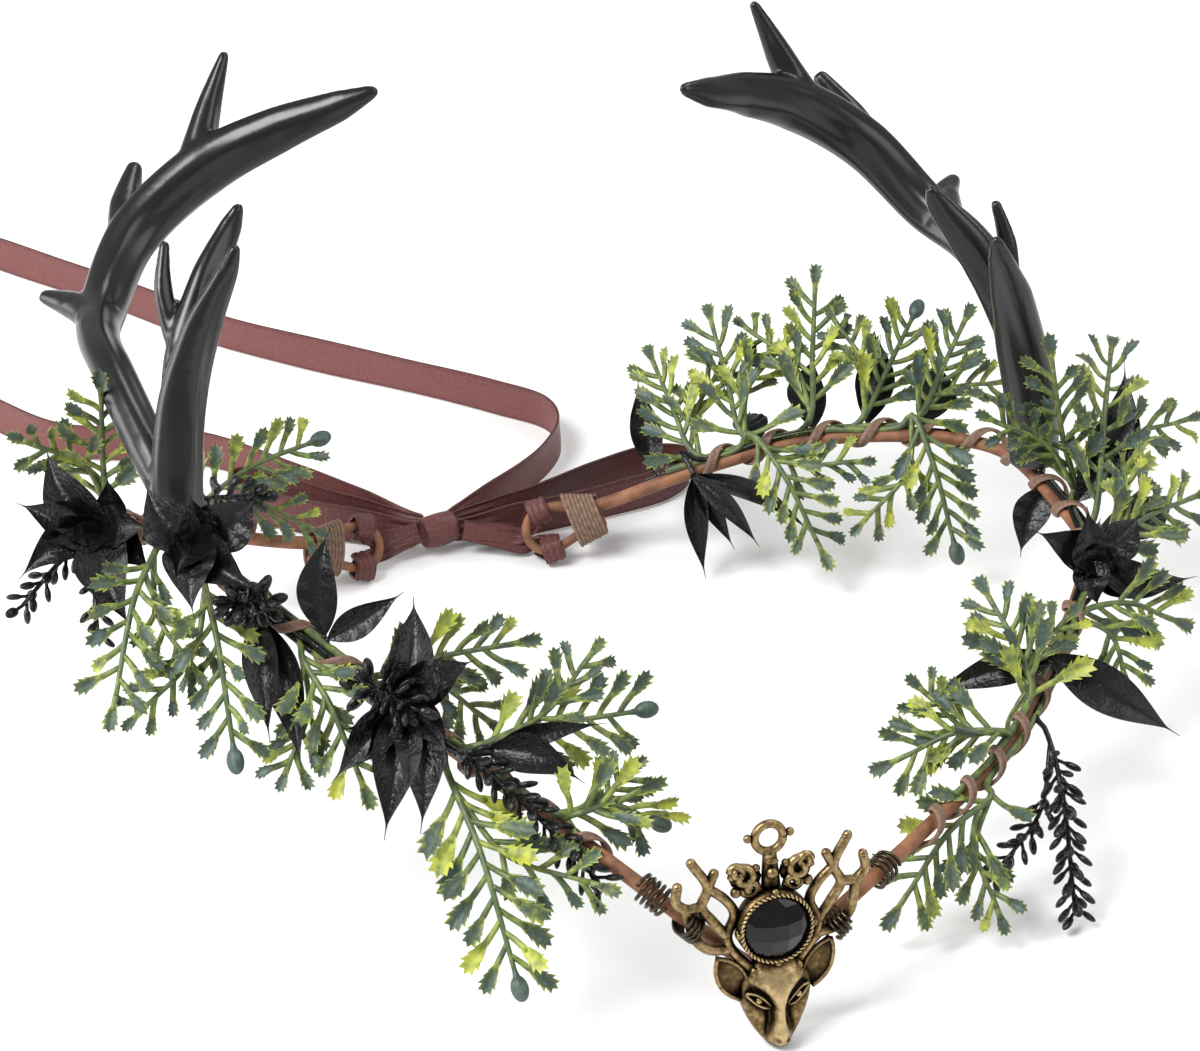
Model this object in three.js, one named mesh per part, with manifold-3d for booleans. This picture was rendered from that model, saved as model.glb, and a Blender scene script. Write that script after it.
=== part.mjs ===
// Antler crown: a paper-wrapped wire hoop that carries a cast stag pendant, a mirrored pair of
// antlers, bound sprays of artificial foliage and a ribbon tie at the back.
// Millimetres, +Z up, the pendant towards -Y, standing on the plane z = 0.
import * as THREE from 'three';
import { ConvexGeometry } from 'three/addons/geometries/ConvexGeometry.js';
import { mergeVertices } from 'three/addons/utils/BufferGeometryUtils.js';
import Module from 'manifold-3d';

const wasm = await Module();
wasm.setup();

// Clearance between pieces that touch on the real crown
const GAP = 0.3;
// Facets smaller than this are merged after cutting and joining
const FACET_TOLERANCE = 0.12;

// Hoop wire, its eyelets and the cords wound on it
const WIRE_RADIUS = 1.6;
const EYELET_WIRE_RADIUS = 1.1;
const EYELET_RADIUS = 5.2;
const EYELET_SWEEP_DEG = 110;
const LOOP_LENGTH = 46;
const EYELET_TAPER = 18;
const LOOP_STEPS = 15;
const SIDE_STEPS = 24;
const FRONT_STEPS = 16;
const FRONT_HALF = 40;
const WRAP_TURNS = 8;
const WRAP_CORD_RADIUS = 0.45;
const WRAP_HALF_DEPTH = 3.4;
const BINDING_PITCH = 13;
const BINDING_HALF_WIDTH = 1.35;
const BINDING_HALF_THICK = 0.7;
const BINDING_RADIUS = 4.3;
const BINDING_OFFSET = 1.2;
const BINDING_START = 46;
const BINDING_ENDS = { left: 286, right: 288 };
const BINDING_TURN = { left: -1, right: 1 };
const COIL_WIRE_RADIUS = 0.4;
const STEPS_PER_TURN = 6;
const COIL_STEPS_PER_TURN = 8;

// Foliage stems lie in three slots on the outer side of the wire, under the binding cord
const STEM_RADIUS = 0.8;
const STEM_TAPER = 0.3;
const STEM_STEPS = 4;
const STEM_DISTANCE = WIRE_RADIUS + GAP + STEM_RADIUS;
const STEM_LEAVES_AT = 5.6;
const STEM_HELD = 9;
const LEAF_WIDTH = 5;
const LEAF_THICK = 1.4;
const BULB_WIDTH = 5.2;
const BULB_THICK = 4.4;
const PADDLE_WIDTH = 3;
const PADDLE_THICK = 1.6;
const BLADE_THICK = 2;
const BOTH_FACES = [1, -1];
const STEM_BEND = 1.5;
const SHOOT_FROM = 0.42;
const SHOOT_REACH = 0.85;
const SHOOT_WIDTH = 9;
const BULB_LENGTH = 7;
const TIP_LEAF_LENGTH = 8;
const TIP_OVERLAP = 1.5;
const FAN_FACE = vec(-0.29, -0.79, 0.54);

// Ribbon
const RIBBON_WIDTH = 10;
const RIBBON_THICK = 1;
const HITCH_STRAND_WIDTH = 4.4;
const HITCH_STEPS = 9;
const KNOT_RADIUS = 4.2;
const KNOT_LENGTH = 8.5;
const KNOT_CENTRE = vec(-3, 107, 5.2);

// Stag pendant, measured in its own upright plane from the middle of the stone
const PENDANT_PLACE = vec(5, -90.6, 27.3);
const PENDANT_LEAN_DEG = 10;
const PENDANT_YAW_DEG = -3;
const PENDANT_HALF_THICK = 1;
const PENDANT_BAR_RADIUS = 1.15;
const RING_RADIUS = 3.1;
const RING_WIRE_RADIUS = 0.95;
const RING_HEIGHT = 19.6;
const NECK_LENGTH = 8;
const NECK_MIDDLE = 12.6;
const STONE_RADIUS = 7;
const STONE_CROWN = 3;
const STONE_FACET = 3.4;
const STONE_CORNERS = 16;
const BEZEL_RADIUS = 8.2;
const BEZEL_DEPTH = 2.6;

const HOOP_CENTRE = vec(10, 0, 0);
const UP = vec(0, 0, 1);

const finish = (color, roughness, metalness) => ({ color, roughness, metalness });
const FINISHES = {
  paper: finish(0xa55f3c, 0.75, 0),
  waxedCord: finish(0x96735f, 0.8, 0),
  antler: finish(0x2d2d2f, 0.45, 0),
  brass: finish(0x7a6036, 0.4, 0.9),
  stone: finish(0x08080a, 0.05, 0),
  darkWire: finish(0x3a3226, 0.4, 0.9),
  ribbon: finish(0x6e3f3b, 0.5, 0),
  green: finish(0x5f7a4c, 0.6, 0),
  black: finish(0x141416, 0.4, 0),
};

// Hoop wire from the middle of the front V back to each eyelet's neck
const HOOP_COLUMNS = ['x', 'y', 'z'];
const HOOP_FRONT = { x: 6, y: -88, z: 13 };
const HOOP_RIGHT = table(HOOP_COLUMNS, [
  [21, -87.6, 24],
  [29, -85.5, 28],
  [50, -71, 28],
  [74, -53, 28],
  [107, -17, 34],
  [119, 2, 37],
  [122, 24, 36],
  [118, 53, 35],
  [85, 77, 30],
  [57, 86, 22],
]);
const HOOP_LEFT = table(HOOP_COLUMNS, [
  [-8.6, -86, 25],
  [-17, -82.5, 33],
  [-32, -62, 42],
  [-50, -38, 52],
  [-69, -14, 65],
  [-87, 5, 78],
  [-98, 35, 72],
  [-92, 65, 52],
  [-65, 92, 27],
]);
const EYELETS = {
  left: { centre: vec(-24, 103, 7.2), from: vec(-40, 101, 12) },
  right: { centre: vec(21, 95, 7.2), from: vec(38, 92, 13) },
};
const EYELET_UPRIGHT = vec(0.19, 0.51, 0.84);

// The two strands of an eyelet's neck: distance along it and height above its middle
const NECK_MAIN = table(['along', 'height'], [[-11, 1.5], [-6.5, 3.7]]);
const NECK_TAIL = table(['along', 'height'], [[-6.5, -3.9], [-10.5, -3], [-14, -2.8]]);
const WRAP_ENDS = table(['along', 'height', 'half'], [[-6.2, -0.1, 6.9], [-13.6, -1, 5]]);

// Antler limbs in the antler's own frame: inward, back and up from the foot, with the limb's
// half-width and the flatness of its section at each point
const ANTLER_COLUMNS = ['inward', 'back', 'up', 'half', 'flat'];
const ANTLER_LIMBS = [
  [[0, 0, -2, 6, 0.95], [1, 4, 12, 6.2, 0.9], [4, 9, 27, 6, 0.8], [9, 10, 43, 5, 0.7],
    [14, 9, 55, 3, 0.65], [16, 9, 61, 1.2, 0.8]],
  [[2, 6, 20, 4.6, 0.9], [6, 15, 33, 5, 0.75], [14, 24, 47, 4.4, 0.65], [21, 30, 56, 2.8, 0.65],
    [23, 31, 60, 1.2, 0.8]],
  [[5, 16, 34, 2.6, 0.9], [4, 24, 45, 2.4, 0.8], [6, 30, 54, 1.2, 0.9]],
  [[0, 2, 4, 3.8, 0.95], [-2, 17, 12, 4.8, 0.95], [-4, 37, 20.5, 5, 0.9], [-3, 54, 21, 5.2, 0.9],
    [2, 69, 21, 5.8, 0.85], [13.5, 84, 31, 6.4, 0.75], [31, 88, 43, 6.6, 0.7],
    [47, 84, 52, 5.4, 0.65], [60, 78, 59, 3.6, 0.65], [68, 75.5, 63, 1.4, 0.8]],
  [[0, 62, 21, 5.2, 0.9], [-4, 72, 21, 4.2, 0.85], [-10, 79, 21, 1.6, 0.9]],
  [[11, 82, 29, 4.8, 0.9], [14, 94, 33, 4.2, 0.85], [19, 104, 39, 1.8, 0.9]],
  [[29, 89, 43, 4.8, 0.9], [34, 96, 53, 3.4, 0.9], [40, 102, 65, 1.2, 0.9]],
].map((rows) => table(ANTLER_COLUMNS, rows));
const ANTLER_MOUNTS = {
  left: { foot: vec(-90, 15, 80.5), inward: 1, turn: [-4, 3, 0] },
  right: { foot: vec(122.5, 38, 40.5), inward: -1, turn: [10, 2, 0] },
};

// Bars of the pendant's openwork antler, as runs of across and up
const PENDANT_BARS = [
  [[4.7, -10.3], [9.2, -4.4], [10, -1.4], [8.2, 3.6], [10, 7.2], [13.7, 10.6]],
  [[10, -1.4], [12.9, 2.7], [15.2, 6.6], [13.7, 10.6], [17, 17]],
  [[9.2, -4.4], [14, -3.6], [17, -0.5], [17.8, 2.6], [18.6, 6.3], [20.6, 8.6], [20.2, 12]],
  [[15.2, 6.6], [18.6, 6.3]],
  [[13.7, 10.6], [12.2, 13.7]],
];
const PENDANT_BALLS = table(['across', 'up', 'out', 'radius'], [
  [4.5, 20.1, 0, 1],
  [4.7, -10.3, 1.2, 1.5],
  [8.2, 0, 1.4, 1],
  [8.2, 14.2, 0.4, 1.2],
  [3.2, 13.2, 0.4, 1.1],
]);
const PENDANT_SCROLLS = table(['across', 'up', 'radius', 'wire'], [
  [6, 11.6, 2.5, 0.9],
  [4.4, 9.6, 1.9, 0.9],
]);
// Sections of the stag's face from the brow down: height, half-width, depth at the middle and sides
const FACE_SECTIONS = table(['up', 'half', 'ridge', 'cheek'], [
  [-8.5, 4.6, 2.4, 1.6],
  [-11.5, 7, 4, 2.4],
  [-15, 7.8, 5, 2],
  [-18, 7.5, 5, 2],
  [-22, 6.1, 5.2, 2],
  [-25.5, 4.2, 5.2, 2.2],
  [-27.6, 2.6, 4, 2],
]);
// Plate behind the scrolls on each side of the ring's neck
const SCROLL_PLATE = { across: 5.4, up: 11.2, radius: 3.2, thick: 1.4 };
const EAR = { root: [6.6, -15.4], tip: [12, -5.6], half: 2.6 };

// Green sprigs: where the stem leaves the wire, the slot that it lies in, its tip, how far its
// middle bows upwards, its side leaves, the leaf length, whether a seed bulb ends it, and the turn
// of its side shoot in degrees
const SPRIG_COLUMNS = ['side', 'at', 'slot', 'x', 'y', 'z', 'bow', 'leaves', 'leaf', 'bulb', 'shoot'];
const GREEN_SPRIGS = table(SPRIG_COLUMNS, [
  ['left', 202, 1, -98, 46, 97, 2, 4, 12, 0, 50],
  ['left', 272, 0, -35, 105, 38, 3, 4, 11, 1, -40],
  ['left', 165, -1, -113, -15, 63, 6, 4, 11, 0, 35],
  ['left', 147, -1, -92, -29, 54, 6, 4, 11, 1, -38],
  ['left', 110, 1, -30, -24, 62, 1, 4, 11, 0, -35],
  ['left', 84, 1, -8, -43, 52, 1, 4, 12, 1, 28],
  ['left', 86, -1, -49, -84, 23, 5, 6, 13, 1, 38],
  ['left', 62, 1, -13, -66, 41, 3, 4, 11, 1, 32],
  ['left', 120, -1, -68, -39, 48, 3, 4, 11, 0, -32],
  ['right', 82, 1, 54, -46, 27, 3, 4, 12, 0, -38],
  ['right', 72, -1, 43, -74, 12, 4, 4, 12, 0, 42],
  ['right', 97, 1, 84, -24, 46, 2, 4, 12, 0, -42],
  ['right', 150, 0, 149, 10, 39, 2, 4, 12, 0, 45],
  ['right', 134, -1, 129, -20, 30, 2, 4, 12, 0, -50],
  ['right', 176, 0, 121, 28, 70, -3, 4, 12, 0, 38],
  ['right', 163, 0, 147, 50, 56, 6, 4, 12, 0, -45],
  ['right', 280, 0, 56, 114, 35, 0, 4, 11, 0, -38],
  ['right', 267, 0, 71, 114, 43, 0, 4, 11, 0, -38],
  ['right', 254, 0, 96, 110, 50, 0, 4, 11, 0, 38],
  ['right', 241, 0, 116, 96, 47, 0, 4, 11, 1, 42],
  ['right', 228, 0, 126, 89, 46, 0, 4, 11, 0, -38],
  ['right', 262, 1, 77, 60, 13, 4, 4, 11, 0, 42],
  ['right', 234, 1, 107, 47, 14, 4, 4, 11, 1, -42],
]);

// Black rosettes and leaf sprays: a stem in a slot, with blades that part from a heart or from
// the stem, each given by its tip and width
const BLADE_COLUMNS = ['x', 'y', 'z', 'width'];
const BLACK_ROSETTES = [
  { name: 'black_flower_01', side: 'left', at: 187, slot: 0, heart: vec(-104, 23, 78), blades: [
    [-112, 40, 92, 11], [-121, 34, 83, 10], [-125, 20, 72, 10], [-104, 3, 65, 13], [-96, 12, 84, 10]] },
  { name: 'black_flower_02', side: 'left', at: 150, slot: 0, heart: vec(-90, -3, 88), blades: [
    [-98, 10, 98, 12], [-76, 2, 94, 12], [-96, -18, 80, 12], [-82, -18, 84, 11]] },
  { name: 'black_flower_03', side: 'left', at: 102, slot: -1, heart: vec(-57, -37, 61), blades: [
    [-49, -20, 76, 10], [-40, -34, 67, 10], [-67, -53, 40, 11], [-60, -56, 42, 11], [-74, -40, 48, 9]] },
  { name: 'black_flower_04', side: 'right', at: 150, slot: 1, heart: vec(115.5, -10, 42), blades: [
    [113, -9, 57, 11], [102, -5, 50, 10], [138, -17, 37, 9], [129, -4, 48, 10], [114.5, -16, 33, 9]] },
  { name: 'black_leaves_right_front', side: 'right', at: 115, slot: 1, heart: vec(93, -37, 38), blades: [
    [66.5, -28, 28, 8], [117, -53, 22, 11]] },
  { name: 'black_leaves_left_front', side: 'left', at: 80, slot: 0, heart: vec(-41, -48, 53), blades: [
    [-25, -60, 49, 9], [-17.5, -51.5, 57, 5]] },
  { name: 'black_leaves_right_low', side: 'right', at: 283, slot: 1, heart: vec(54, 81, 23), blades: [
    [53, 71, 0.6, 6], [60, 70, 8, 5], [66, 69, 8, 5], [79, 67, 10, 5]] },
].map((row) => ({ ...row, blades: table(BLADE_COLUMNS, row.blades) }));
const SPRAY_BLADE_COLUMNS = ['at', 'x', 'y', 'z', 'width'];
const BLACK_SPRAYS = [
  { name: 'black_leaves_left_high', side: 'left', slot: 1, from: 121, to: 140, blades: [
    [125, -62, -5, 88, 8], [125, -51, -20, 78, 6]] },
  { name: 'black_leaves_left_low', side: 'left', slot: -1, from: 128, to: 142, blades: [
    [138, -79, -35, 48, 8], [138, -84, -29, 53, 7]] },
  { name: 'black_leaves_right_antler', side: 'right', slot: -1, from: 156, to: 188, blades: [
    [161, 151, 19, 36, 9], [170, 144, 27, 55, 9], [178, 147, 43, 59, 11], [186, 115, 27, 20, 8]] },
  { name: 'black_leaves_right_back', side: 'right', slot: -1, from: 216, to: 294, blades: [
    [226, 119, 90, 40, 9], [239, 109, 99, 42, 9], [252, 94, 103, 38, 9], [271, 75, 99, 27, 8],
    [291, 52, 116, 32, 7]] },
].map((row) => ({ ...row, blades: table(SPRAY_BLADE_COLUMNS, row.blades) }));

// Heather twigs and cone-like clusters of small black paddles
const TWIG_COLUMNS = ['name', 'side', 'at', 'slot', 'x', 'y', 'z', 'bow', 'paddles', 'paddle', 'shoot'];
const BLACK_TWIGS = table(TWIG_COLUMNS, [
  ['black_heather_left', 'left', 178, -1, -124, 20, 66, 3, 6, 6, 40],
  ['black_heather_front', 'left', 98, 0, -28, -76, 36, 4, 7, 6, 0],
  ['black_heather_right', 'right', 96, -1, 80, -81, 3.2, 8, 7, 7, -32],
  ['black_cone_left', 'left', 136, 0, -86, -15, 80, 1, 6, 6.5, 0],
  ['black_cone_back', 'left', 256, 1, -52, 93, 34, 1, 6, 6, 0],
  ['black_cone_front', 'left', 112, 0, -58, -42, 65, 1, 6, 7, 0],
]);

// Ribbon runs from end to end: loops and tails stand on their lower edge
const RIBBON_COLUMNS = ['x', 'y', 'z'];
const RIBBON_RUNS = {
  ribbon_bow_right: [[2.4, 108.6, 5.5], [18, 110, 5.1], [42, 117, 4.7], [58, 119, 4.7], [65, 115, 4.7],
    [58, 109, 4.7], [40, 106, 4.7], [18, 105, 4.9], [2.4, 105.6, 5.1]],
  ribbon_bow_left: [[-8.4, 108.8, 5.1], [-22, 117, 4.9], [-38, 130, 4.7], [-46, 139, 4.7], [-43, 144, 4.7],
    [-36, 140, 4.7], [-22, 124, 4.9], [-8.2, 110.8, 5.1]],
  ribbon_tail_upper: [[2, 111, 4.9], [16, 118, 4.7], [32, 129, 4.7], [40, 140, 4.7], [40, 150, 4.7],
    [30, 162, 4.7], [11, 181, 4.7], [-24, 215, 4.7], [-50, 250, 4.7], [-74, 281, 4.7]],
  ribbon_tail_lower: [[-8, 112.8, 4.9], [-18, 126, 4.7], [-28, 140, 4.7], [-45, 162, 4.7], [-62, 171, 4.7],
    [-79, 180, 4.7], [-95, 203, 4.7]],
};

// Cow hitch on an eyelet: each strip comes from the knot behind the bare end of the ring, goes
// through the ring, and wraps over the ring's upper or lower half to its back
const HITCH_ROUTE = table(['along', 'height', 'depth'], [
  [6.6, 1.2, -3],
  [0.6, 1.5, -0.8],
  [0.6, 4, 2.3],
  [0.6, 7.7, 0.8],
  [0.6, 6.2, -2.4],
  [3.4, 3, -3.6],
]);
const HITCH_WRAP_FROM = 0.4;
const HITCH_ENDS = { left: vec(-8.4, 106, 6), right: vec(2.4, 103.4, 6) };

// Wire coils round the hoop, or round the hoop and a bar of the pendant in front of it
const COIL_COLUMNS = ['name', 'side', 'from', 'to', 'turns', 'forward', 'deep', 'wide'];
const WIRE_COILS = table(COIL_COLUMNS, [
  ['wire_coil_left_outer', 'left', 30, 36.5, 5, 0, 3.2, 3.2],
  ['wire_coil_left_inner', 'left', 22.6, 26.2, 4, 2.3, 5, 2.9],
  ['wire_coil_right_inner', 'right', 15.5, 19.1, 4, 2.3, 5, 2.9],
  ['wire_coil_right_outer', 'right', 29.5, 35, 4, 0, 3.2, 3.2],
]);

const LOOSE_RIBBON = [...Object.keys(RIBBON_RUNS), 'ribbon_knot'];

function vec(x, y, z) {
  return new THREE.Vector3(x, y, z);
}

function table(columns, rows) {
  return rows.map((row) => Object.fromEntries(columns.map((name, i) => [name, row[i]])));
}

function point({ x, y, z }) {
  return vec(x, y, z);
}

function smoothCurve(points) {
  const curve = new THREE.CatmullRomCurve3(points, false, 'centripetal');
  curve.arcLengthDivisions = 40 * points.length;
  return curve;
}

// The part of a direction that is square to an axis, at unit length
function squareTo(axis, direction) {
  return direction.clone().addScaledVector(axis, -direction.dot(axis)).normalize();
}

// A closed tube along a curve: the height of a cylinder runs along the curve and its round
// section takes a half-width and a half-thickness. Stops are shares of the curve's length, in even
// steps unless they are given; without a face the section turns with the curve.
function bentTube(curve, { sides, steps, stops, half, thick = half, face, turn = 0 }) {
  const shares = stops ?? Array.from({ length: steps + 1 }, (_, i) => i / steps);
  const count = shares.length - 1;
  const tube = new THREE.CylinderGeometry(1, 1, 1, sides, count, false, turn);
  const frames = curve.computeFrenetFrames(count, false);
  const place = tube.attributes.position;
  for (let i = 0; i < place.count; i++) {
    const step = Math.round((place.getY(i) + 0.5) * count);
    const share = shares[step];
    const tangent = curve.getTangentAt(share);
    const normal = squareTo(tangent, face ? face(share, step) : frames.normals[step]);
    const across = tangent.clone().cross(normal);
    const spot = curve.getPointAt(share)
      .addScaledVector(across, place.getX(i) * half(share))
      .addScaledVector(normal, place.getZ(i) * thick(share));
    place.setXYZ(i, spot.x, spot.y, spot.z);
  }
  return tube;
}

function roundTube(curve, radius, sides, steps) {
  return bentTube(curve, { sides, steps, half: () => radius });
}

function asSolid(geometry) {
  const bare = geometry.clone();
  bare.deleteAttribute('normal');
  bare.deleteAttribute('uv');
  const merged = mergeVertices(bare);
  return new wasm.Manifold(new wasm.Mesh({
    numProp: 3,
    vertProperties: Float32Array.from(merged.attributes.position.array),
    triVerts: Uint32Array.from(merged.index.array),
  }));
}

function asGeometry(body) {
  const mesh = body.getMesh();
  const geometry = new THREE.BufferGeometry();
  geometry.setAttribute('position', new THREE.BufferAttribute(Float32Array.from(mesh.vertProperties), 3));
  geometry.setIndex(Array.from(mesh.triVerts));
  geometry.computeVertexNormals();
  return geometry;
}

function unite(geometries) {
  return geometries.map(asSolid).reduce((whole, piece) => whole.add(piece));
}

// The largest of the bodies that a cut leaves, without needless small facets
function mainBody(body) {
  const bodies = body.simplify(FACET_TOLERANCE).decompose();
  return bodies.reduce((best, piece) => (piece.volume() > best.volume() ? piece : best));
}

function boxesMeet(a, b) {
  const boxA = a.boundingBox();
  const boxB = b.boundingBox();
  return [0, 1, 2].every((axis) => boxA.min[axis] < boxB.max[axis] && boxB.min[axis] < boxA.max[axis]);
}

function cutClear(body, obstacles) {
  return obstacles.filter((other) => boxesMeet(body, other))
    .reduce((rest, other) => rest.subtract(other), body);
}

// Local axes of an eyelet: along points away from the hoop, upright is the height in its plane
function eyeletAxes({ centre, from }) {
  const along = centre.clone().sub(from).normalize();
  const upright = squareTo(along, EYELET_UPRIGHT);
  const through = squareTo(along, FAN_FACE);
  const spot = (a, height, depth = 0) => centre.clone().addScaledVector(along, a)
    .addScaledVector(upright, height).addScaledVector(through, depth);
  return { spot };
}

function eyeletLoop(eyelet) {
  const { spot } = eyeletAxes(eyelet);
  const sweep = THREE.MathUtils.degToRad(EYELET_SWEEP_DEG);
  const stops = [1, 0.6, 0.2, -0.2, -0.6, -1];
  const arc = stops.map((share) => spot(
    EYELET_RADIUS * Math.cos(share * sweep),
    EYELET_RADIUS * Math.sin(share * sweep),
  ));
  const main = NECK_MAIN.map(({ along, height }) => spot(along, height));
  const tail = NECK_TAIL.map(({ along, height }) => spot(along, height));
  return [...main, ...arc, ...tail];
}

const hoopPoints = [
  ...[...HOOP_LEFT.map(point), ...eyeletLoop(EYELETS.left)].reverse(),
  point(HOOP_FRONT),
  ...HOOP_RIGHT.map(point),
  ...eyeletLoop(EYELETS.right),
];
const hoop = smoothCurve(hoopPoints);
const hoopLengths = hoop.getLengths();
const hoopLength = hoopLengths.at(-1);
const frontShare = (HOOP_LEFT.length + eyeletLoop(EYELETS.left).length) / (hoopPoints.length - 1);
const frontLength = hoopLengths[Math.round(frontShare * (hoopLengths.length - 1))];

// Share of the hoop's length at a distance back from the front on one side
function hoopShare(side, at) {
  return (frontLength + (side === 'right' ? at : -at)) / hoopLength;
}

// The hoop at a distance from the front: its point, direction, and the sides that face
// outwards and up, and inwards and up
function hoopFrame(side, at) {
  const share = THREE.MathUtils.clamp(hoopShare(side, at), 0, 1);
  const spot = hoop.getPointAt(share);
  const tangent = hoop.getTangentAt(share);
  const radial = spot.clone().sub(HOOP_CENTRE).setZ(0).normalize();
  const outer = squareTo(tangent, radial.add(UP));
  const inner = squareTo(tangent, outer.clone().cross(tangent));
  return { spot, tangent, outer, inner };
}

function wireRadius(share, grow = 0) {
  const fromEnd = Math.min(share, 1 - share) * hoopLength;
  const blend = THREE.MathUtils.smoothstep(fromEnd, LOOP_LENGTH - EYELET_TAPER, LOOP_LENGTH);
  return THREE.MathUtils.lerp(EYELET_WIRE_RADIUS, WIRE_RADIUS, blend) + grow;
}

// The hoop is divided finely round its eyelets and its front V, and coarsely between them
function hoopStops() {
  const zones = table(['from', 'to', 'count'], [
    [0, LOOP_LENGTH, LOOP_STEPS],
    [LOOP_LENGTH, frontLength - FRONT_HALF, SIDE_STEPS],
    [frontLength - FRONT_HALF, frontLength + FRONT_HALF, FRONT_STEPS],
    [frontLength + FRONT_HALF, hoopLength - LOOP_LENGTH, SIDE_STEPS],
    [hoopLength - LOOP_LENGTH, hoopLength, LOOP_STEPS],
  ]);
  const inner = zones.flatMap(({ from, to, count }) => (
    Array.from({ length: count }, (_, i) => THREE.MathUtils.lerp(from, to, i / count) / hoopLength)
  ));
  return [...inner, 1];
}

function bandGeometry(grow = 0) {
  const half = (share) => wireRadius(share, grow);
  return bentTube(hoop, { sides: 5, stops: hoopStops(), half, face: () => FAN_FACE });
}

function wrapGeometry(eyelet) {
  const { spot } = eyeletAxes(eyelet);
  const [first, last] = WRAP_ENDS;
  const steps = WRAP_TURNS * STEPS_PER_TURN;
  const points = Array.from({ length: steps + 1 }, (_, i) => {
    const share = i / steps;
    const angle = share * WRAP_TURNS * 2 * Math.PI;
    const height = THREE.MathUtils.lerp(first.height, last.height, share);
    const half = THREE.MathUtils.lerp(first.half, last.half, share);
    return spot(
      THREE.MathUtils.lerp(first.along, last.along, share),
      height + half * Math.cos(angle),
      WRAP_HALF_DEPTH * Math.sin(angle),
    );
  });
  return roundTube(smoothCurve(points), WRAP_CORD_RADIUS, 3, steps);
}

// Binding cord: a flat cord that hugs the wire on its inner side and leaves room for stems outside
function bindingGeometry(side, grow = 0) {
  const reach = BINDING_ENDS[side] - BINDING_START;
  const steps = Math.round((reach / BINDING_PITCH) * STEPS_PER_TURN);
  const turns = Array.from({ length: steps + 1 }, (_, i) => {
    const at = BINDING_START + (i / steps) * reach;
    const angle = (BINDING_TURN[side] * 2 * Math.PI * at) / BINDING_PITCH;
    const { spot, outer, inner } = hoopFrame(side, at);
    const away = outer.clone().multiplyScalar(Math.cos(angle)).addScaledVector(inner, Math.sin(angle));
    const place = spot.addScaledVector(outer, BINDING_OFFSET).addScaledVector(away, BINDING_RADIUS);
    return { away, place };
  });
  const curve = smoothCurve(turns.map(({ place }) => place));
  const lengths = curve.getLengths(steps);
  return bentTube(curve, {
    sides: 3,
    stops: lengths.map((length) => length / lengths.at(-1)),
    half: () => BINDING_HALF_WIDTH + grow,
    thick: () => BINDING_HALF_THICK + grow,
    face: (_, step) => turns[step].away,
  });
}

function antlerSolid({ foot, inward, turn }, grow = 0) {
  const [x, y, z] = turn.map(THREE.MathUtils.degToRad);
  const tilt = new THREE.Euler(x, y, z);
  const limbs = ANTLER_LIMBS.map((rows) => {
    const points = rows.map((row) => vec(inward * row.inward, row.back, row.up).applyEuler(tilt).add(foot));
    const curve = smoothCurve(points);
    const lengths = curve.getLengths(rows.length - 1).map((length, i, all) => length / all.at(-1));
    const at = (share, column) => {
      const next = Math.max(1, lengths.findIndex((length) => length >= share - 1e-9));
      const part = (share - lengths[next - 1]) / (lengths[next] - lengths[next - 1]);
      return THREE.MathUtils.lerp(rows[next - 1][column], rows[next][column], part);
    };
    const half = (share) => at(share, 'half') + grow;
    return bentTube(curve, {
      sides: 6,
      steps: rows.length,
      turn: Math.PI / 6,
      half,
      thick: (share) => at(share, 'half') * at(share, 'flat') + grow,
      face: () => vec(inward * 0.6, -0.6, 0.5),
    });
  });
  return unite(limbs);
}

// A flat leaf as the hull of its foot, its tip, its shoulders and its midrib, which stands proud of
// one face or of both
function bladeGeometry(foot, tip, width, thick, face, shoulders = [0.45], ribs = [2]) {
  const axis = tip.clone().sub(foot);
  const normal = squareTo(axis.clone().normalize(), face);
  const across = axis.clone().normalize().cross(normal);
  const along = (share, side, rise) => foot.clone().addScaledVector(axis, share)
    .addScaledVector(across, side * width / 2).addScaledVector(normal, rise * thick / 2);
  const sides = shoulders.flatMap((share) => [along(share, 1, 0), along(share, -1, 0)]);
  const ridge = shoulders.reduce((sum, share) => sum + share / shoulders.length, 0);
  return new ConvexGeometry([foot, tip, ...sides, ...ribs.map((rise) => along(ridge, 0, rise))]);
}

// Where a stem lies beside the wire: it starts under one turn of the binding and parts from the
// wire in the middle of the next gap
function stemRoot(side, at, slot) {
  const angle = slot * THREE.MathUtils.degToRad(40);
  const lead = (BINDING_TURN[side] * angle) / (2 * Math.PI) + 0.5;
  const leave = BINDING_PITCH * (Math.round(at / BINDING_PITCH - lead) + lead);
  const beside = (place, distance) => {
    const { spot, outer, inner } = hoopFrame(side, place);
    return spot.addScaledVector(outer, distance * Math.cos(angle))
      .addScaledVector(inner, distance * Math.sin(angle));
  };
  return { leave, beside };
}

function stemCurve(side, at, slot, tip, bow) {
  const { leave, beside } = stemRoot(side, at, slot);
  const ahead = beside(leave + 1, 0).distanceTo(tip) < beside(leave - 1, 0).distanceTo(tip) ? 1 : -1;
  const start = beside(leave - ahead * STEM_HELD, STEM_DISTANCE);
  const bend = beside(leave - ahead * STEM_BEND, STEM_DISTANCE);
  const out = beside(leave + ahead * STEM_BEND, STEM_LEAVES_AT);
  const middle = out.clone().lerp(tip, 0.5).addScaledVector(UP, bow);
  return smoothCurve([start, bend, out, middle, tip]);
}

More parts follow.
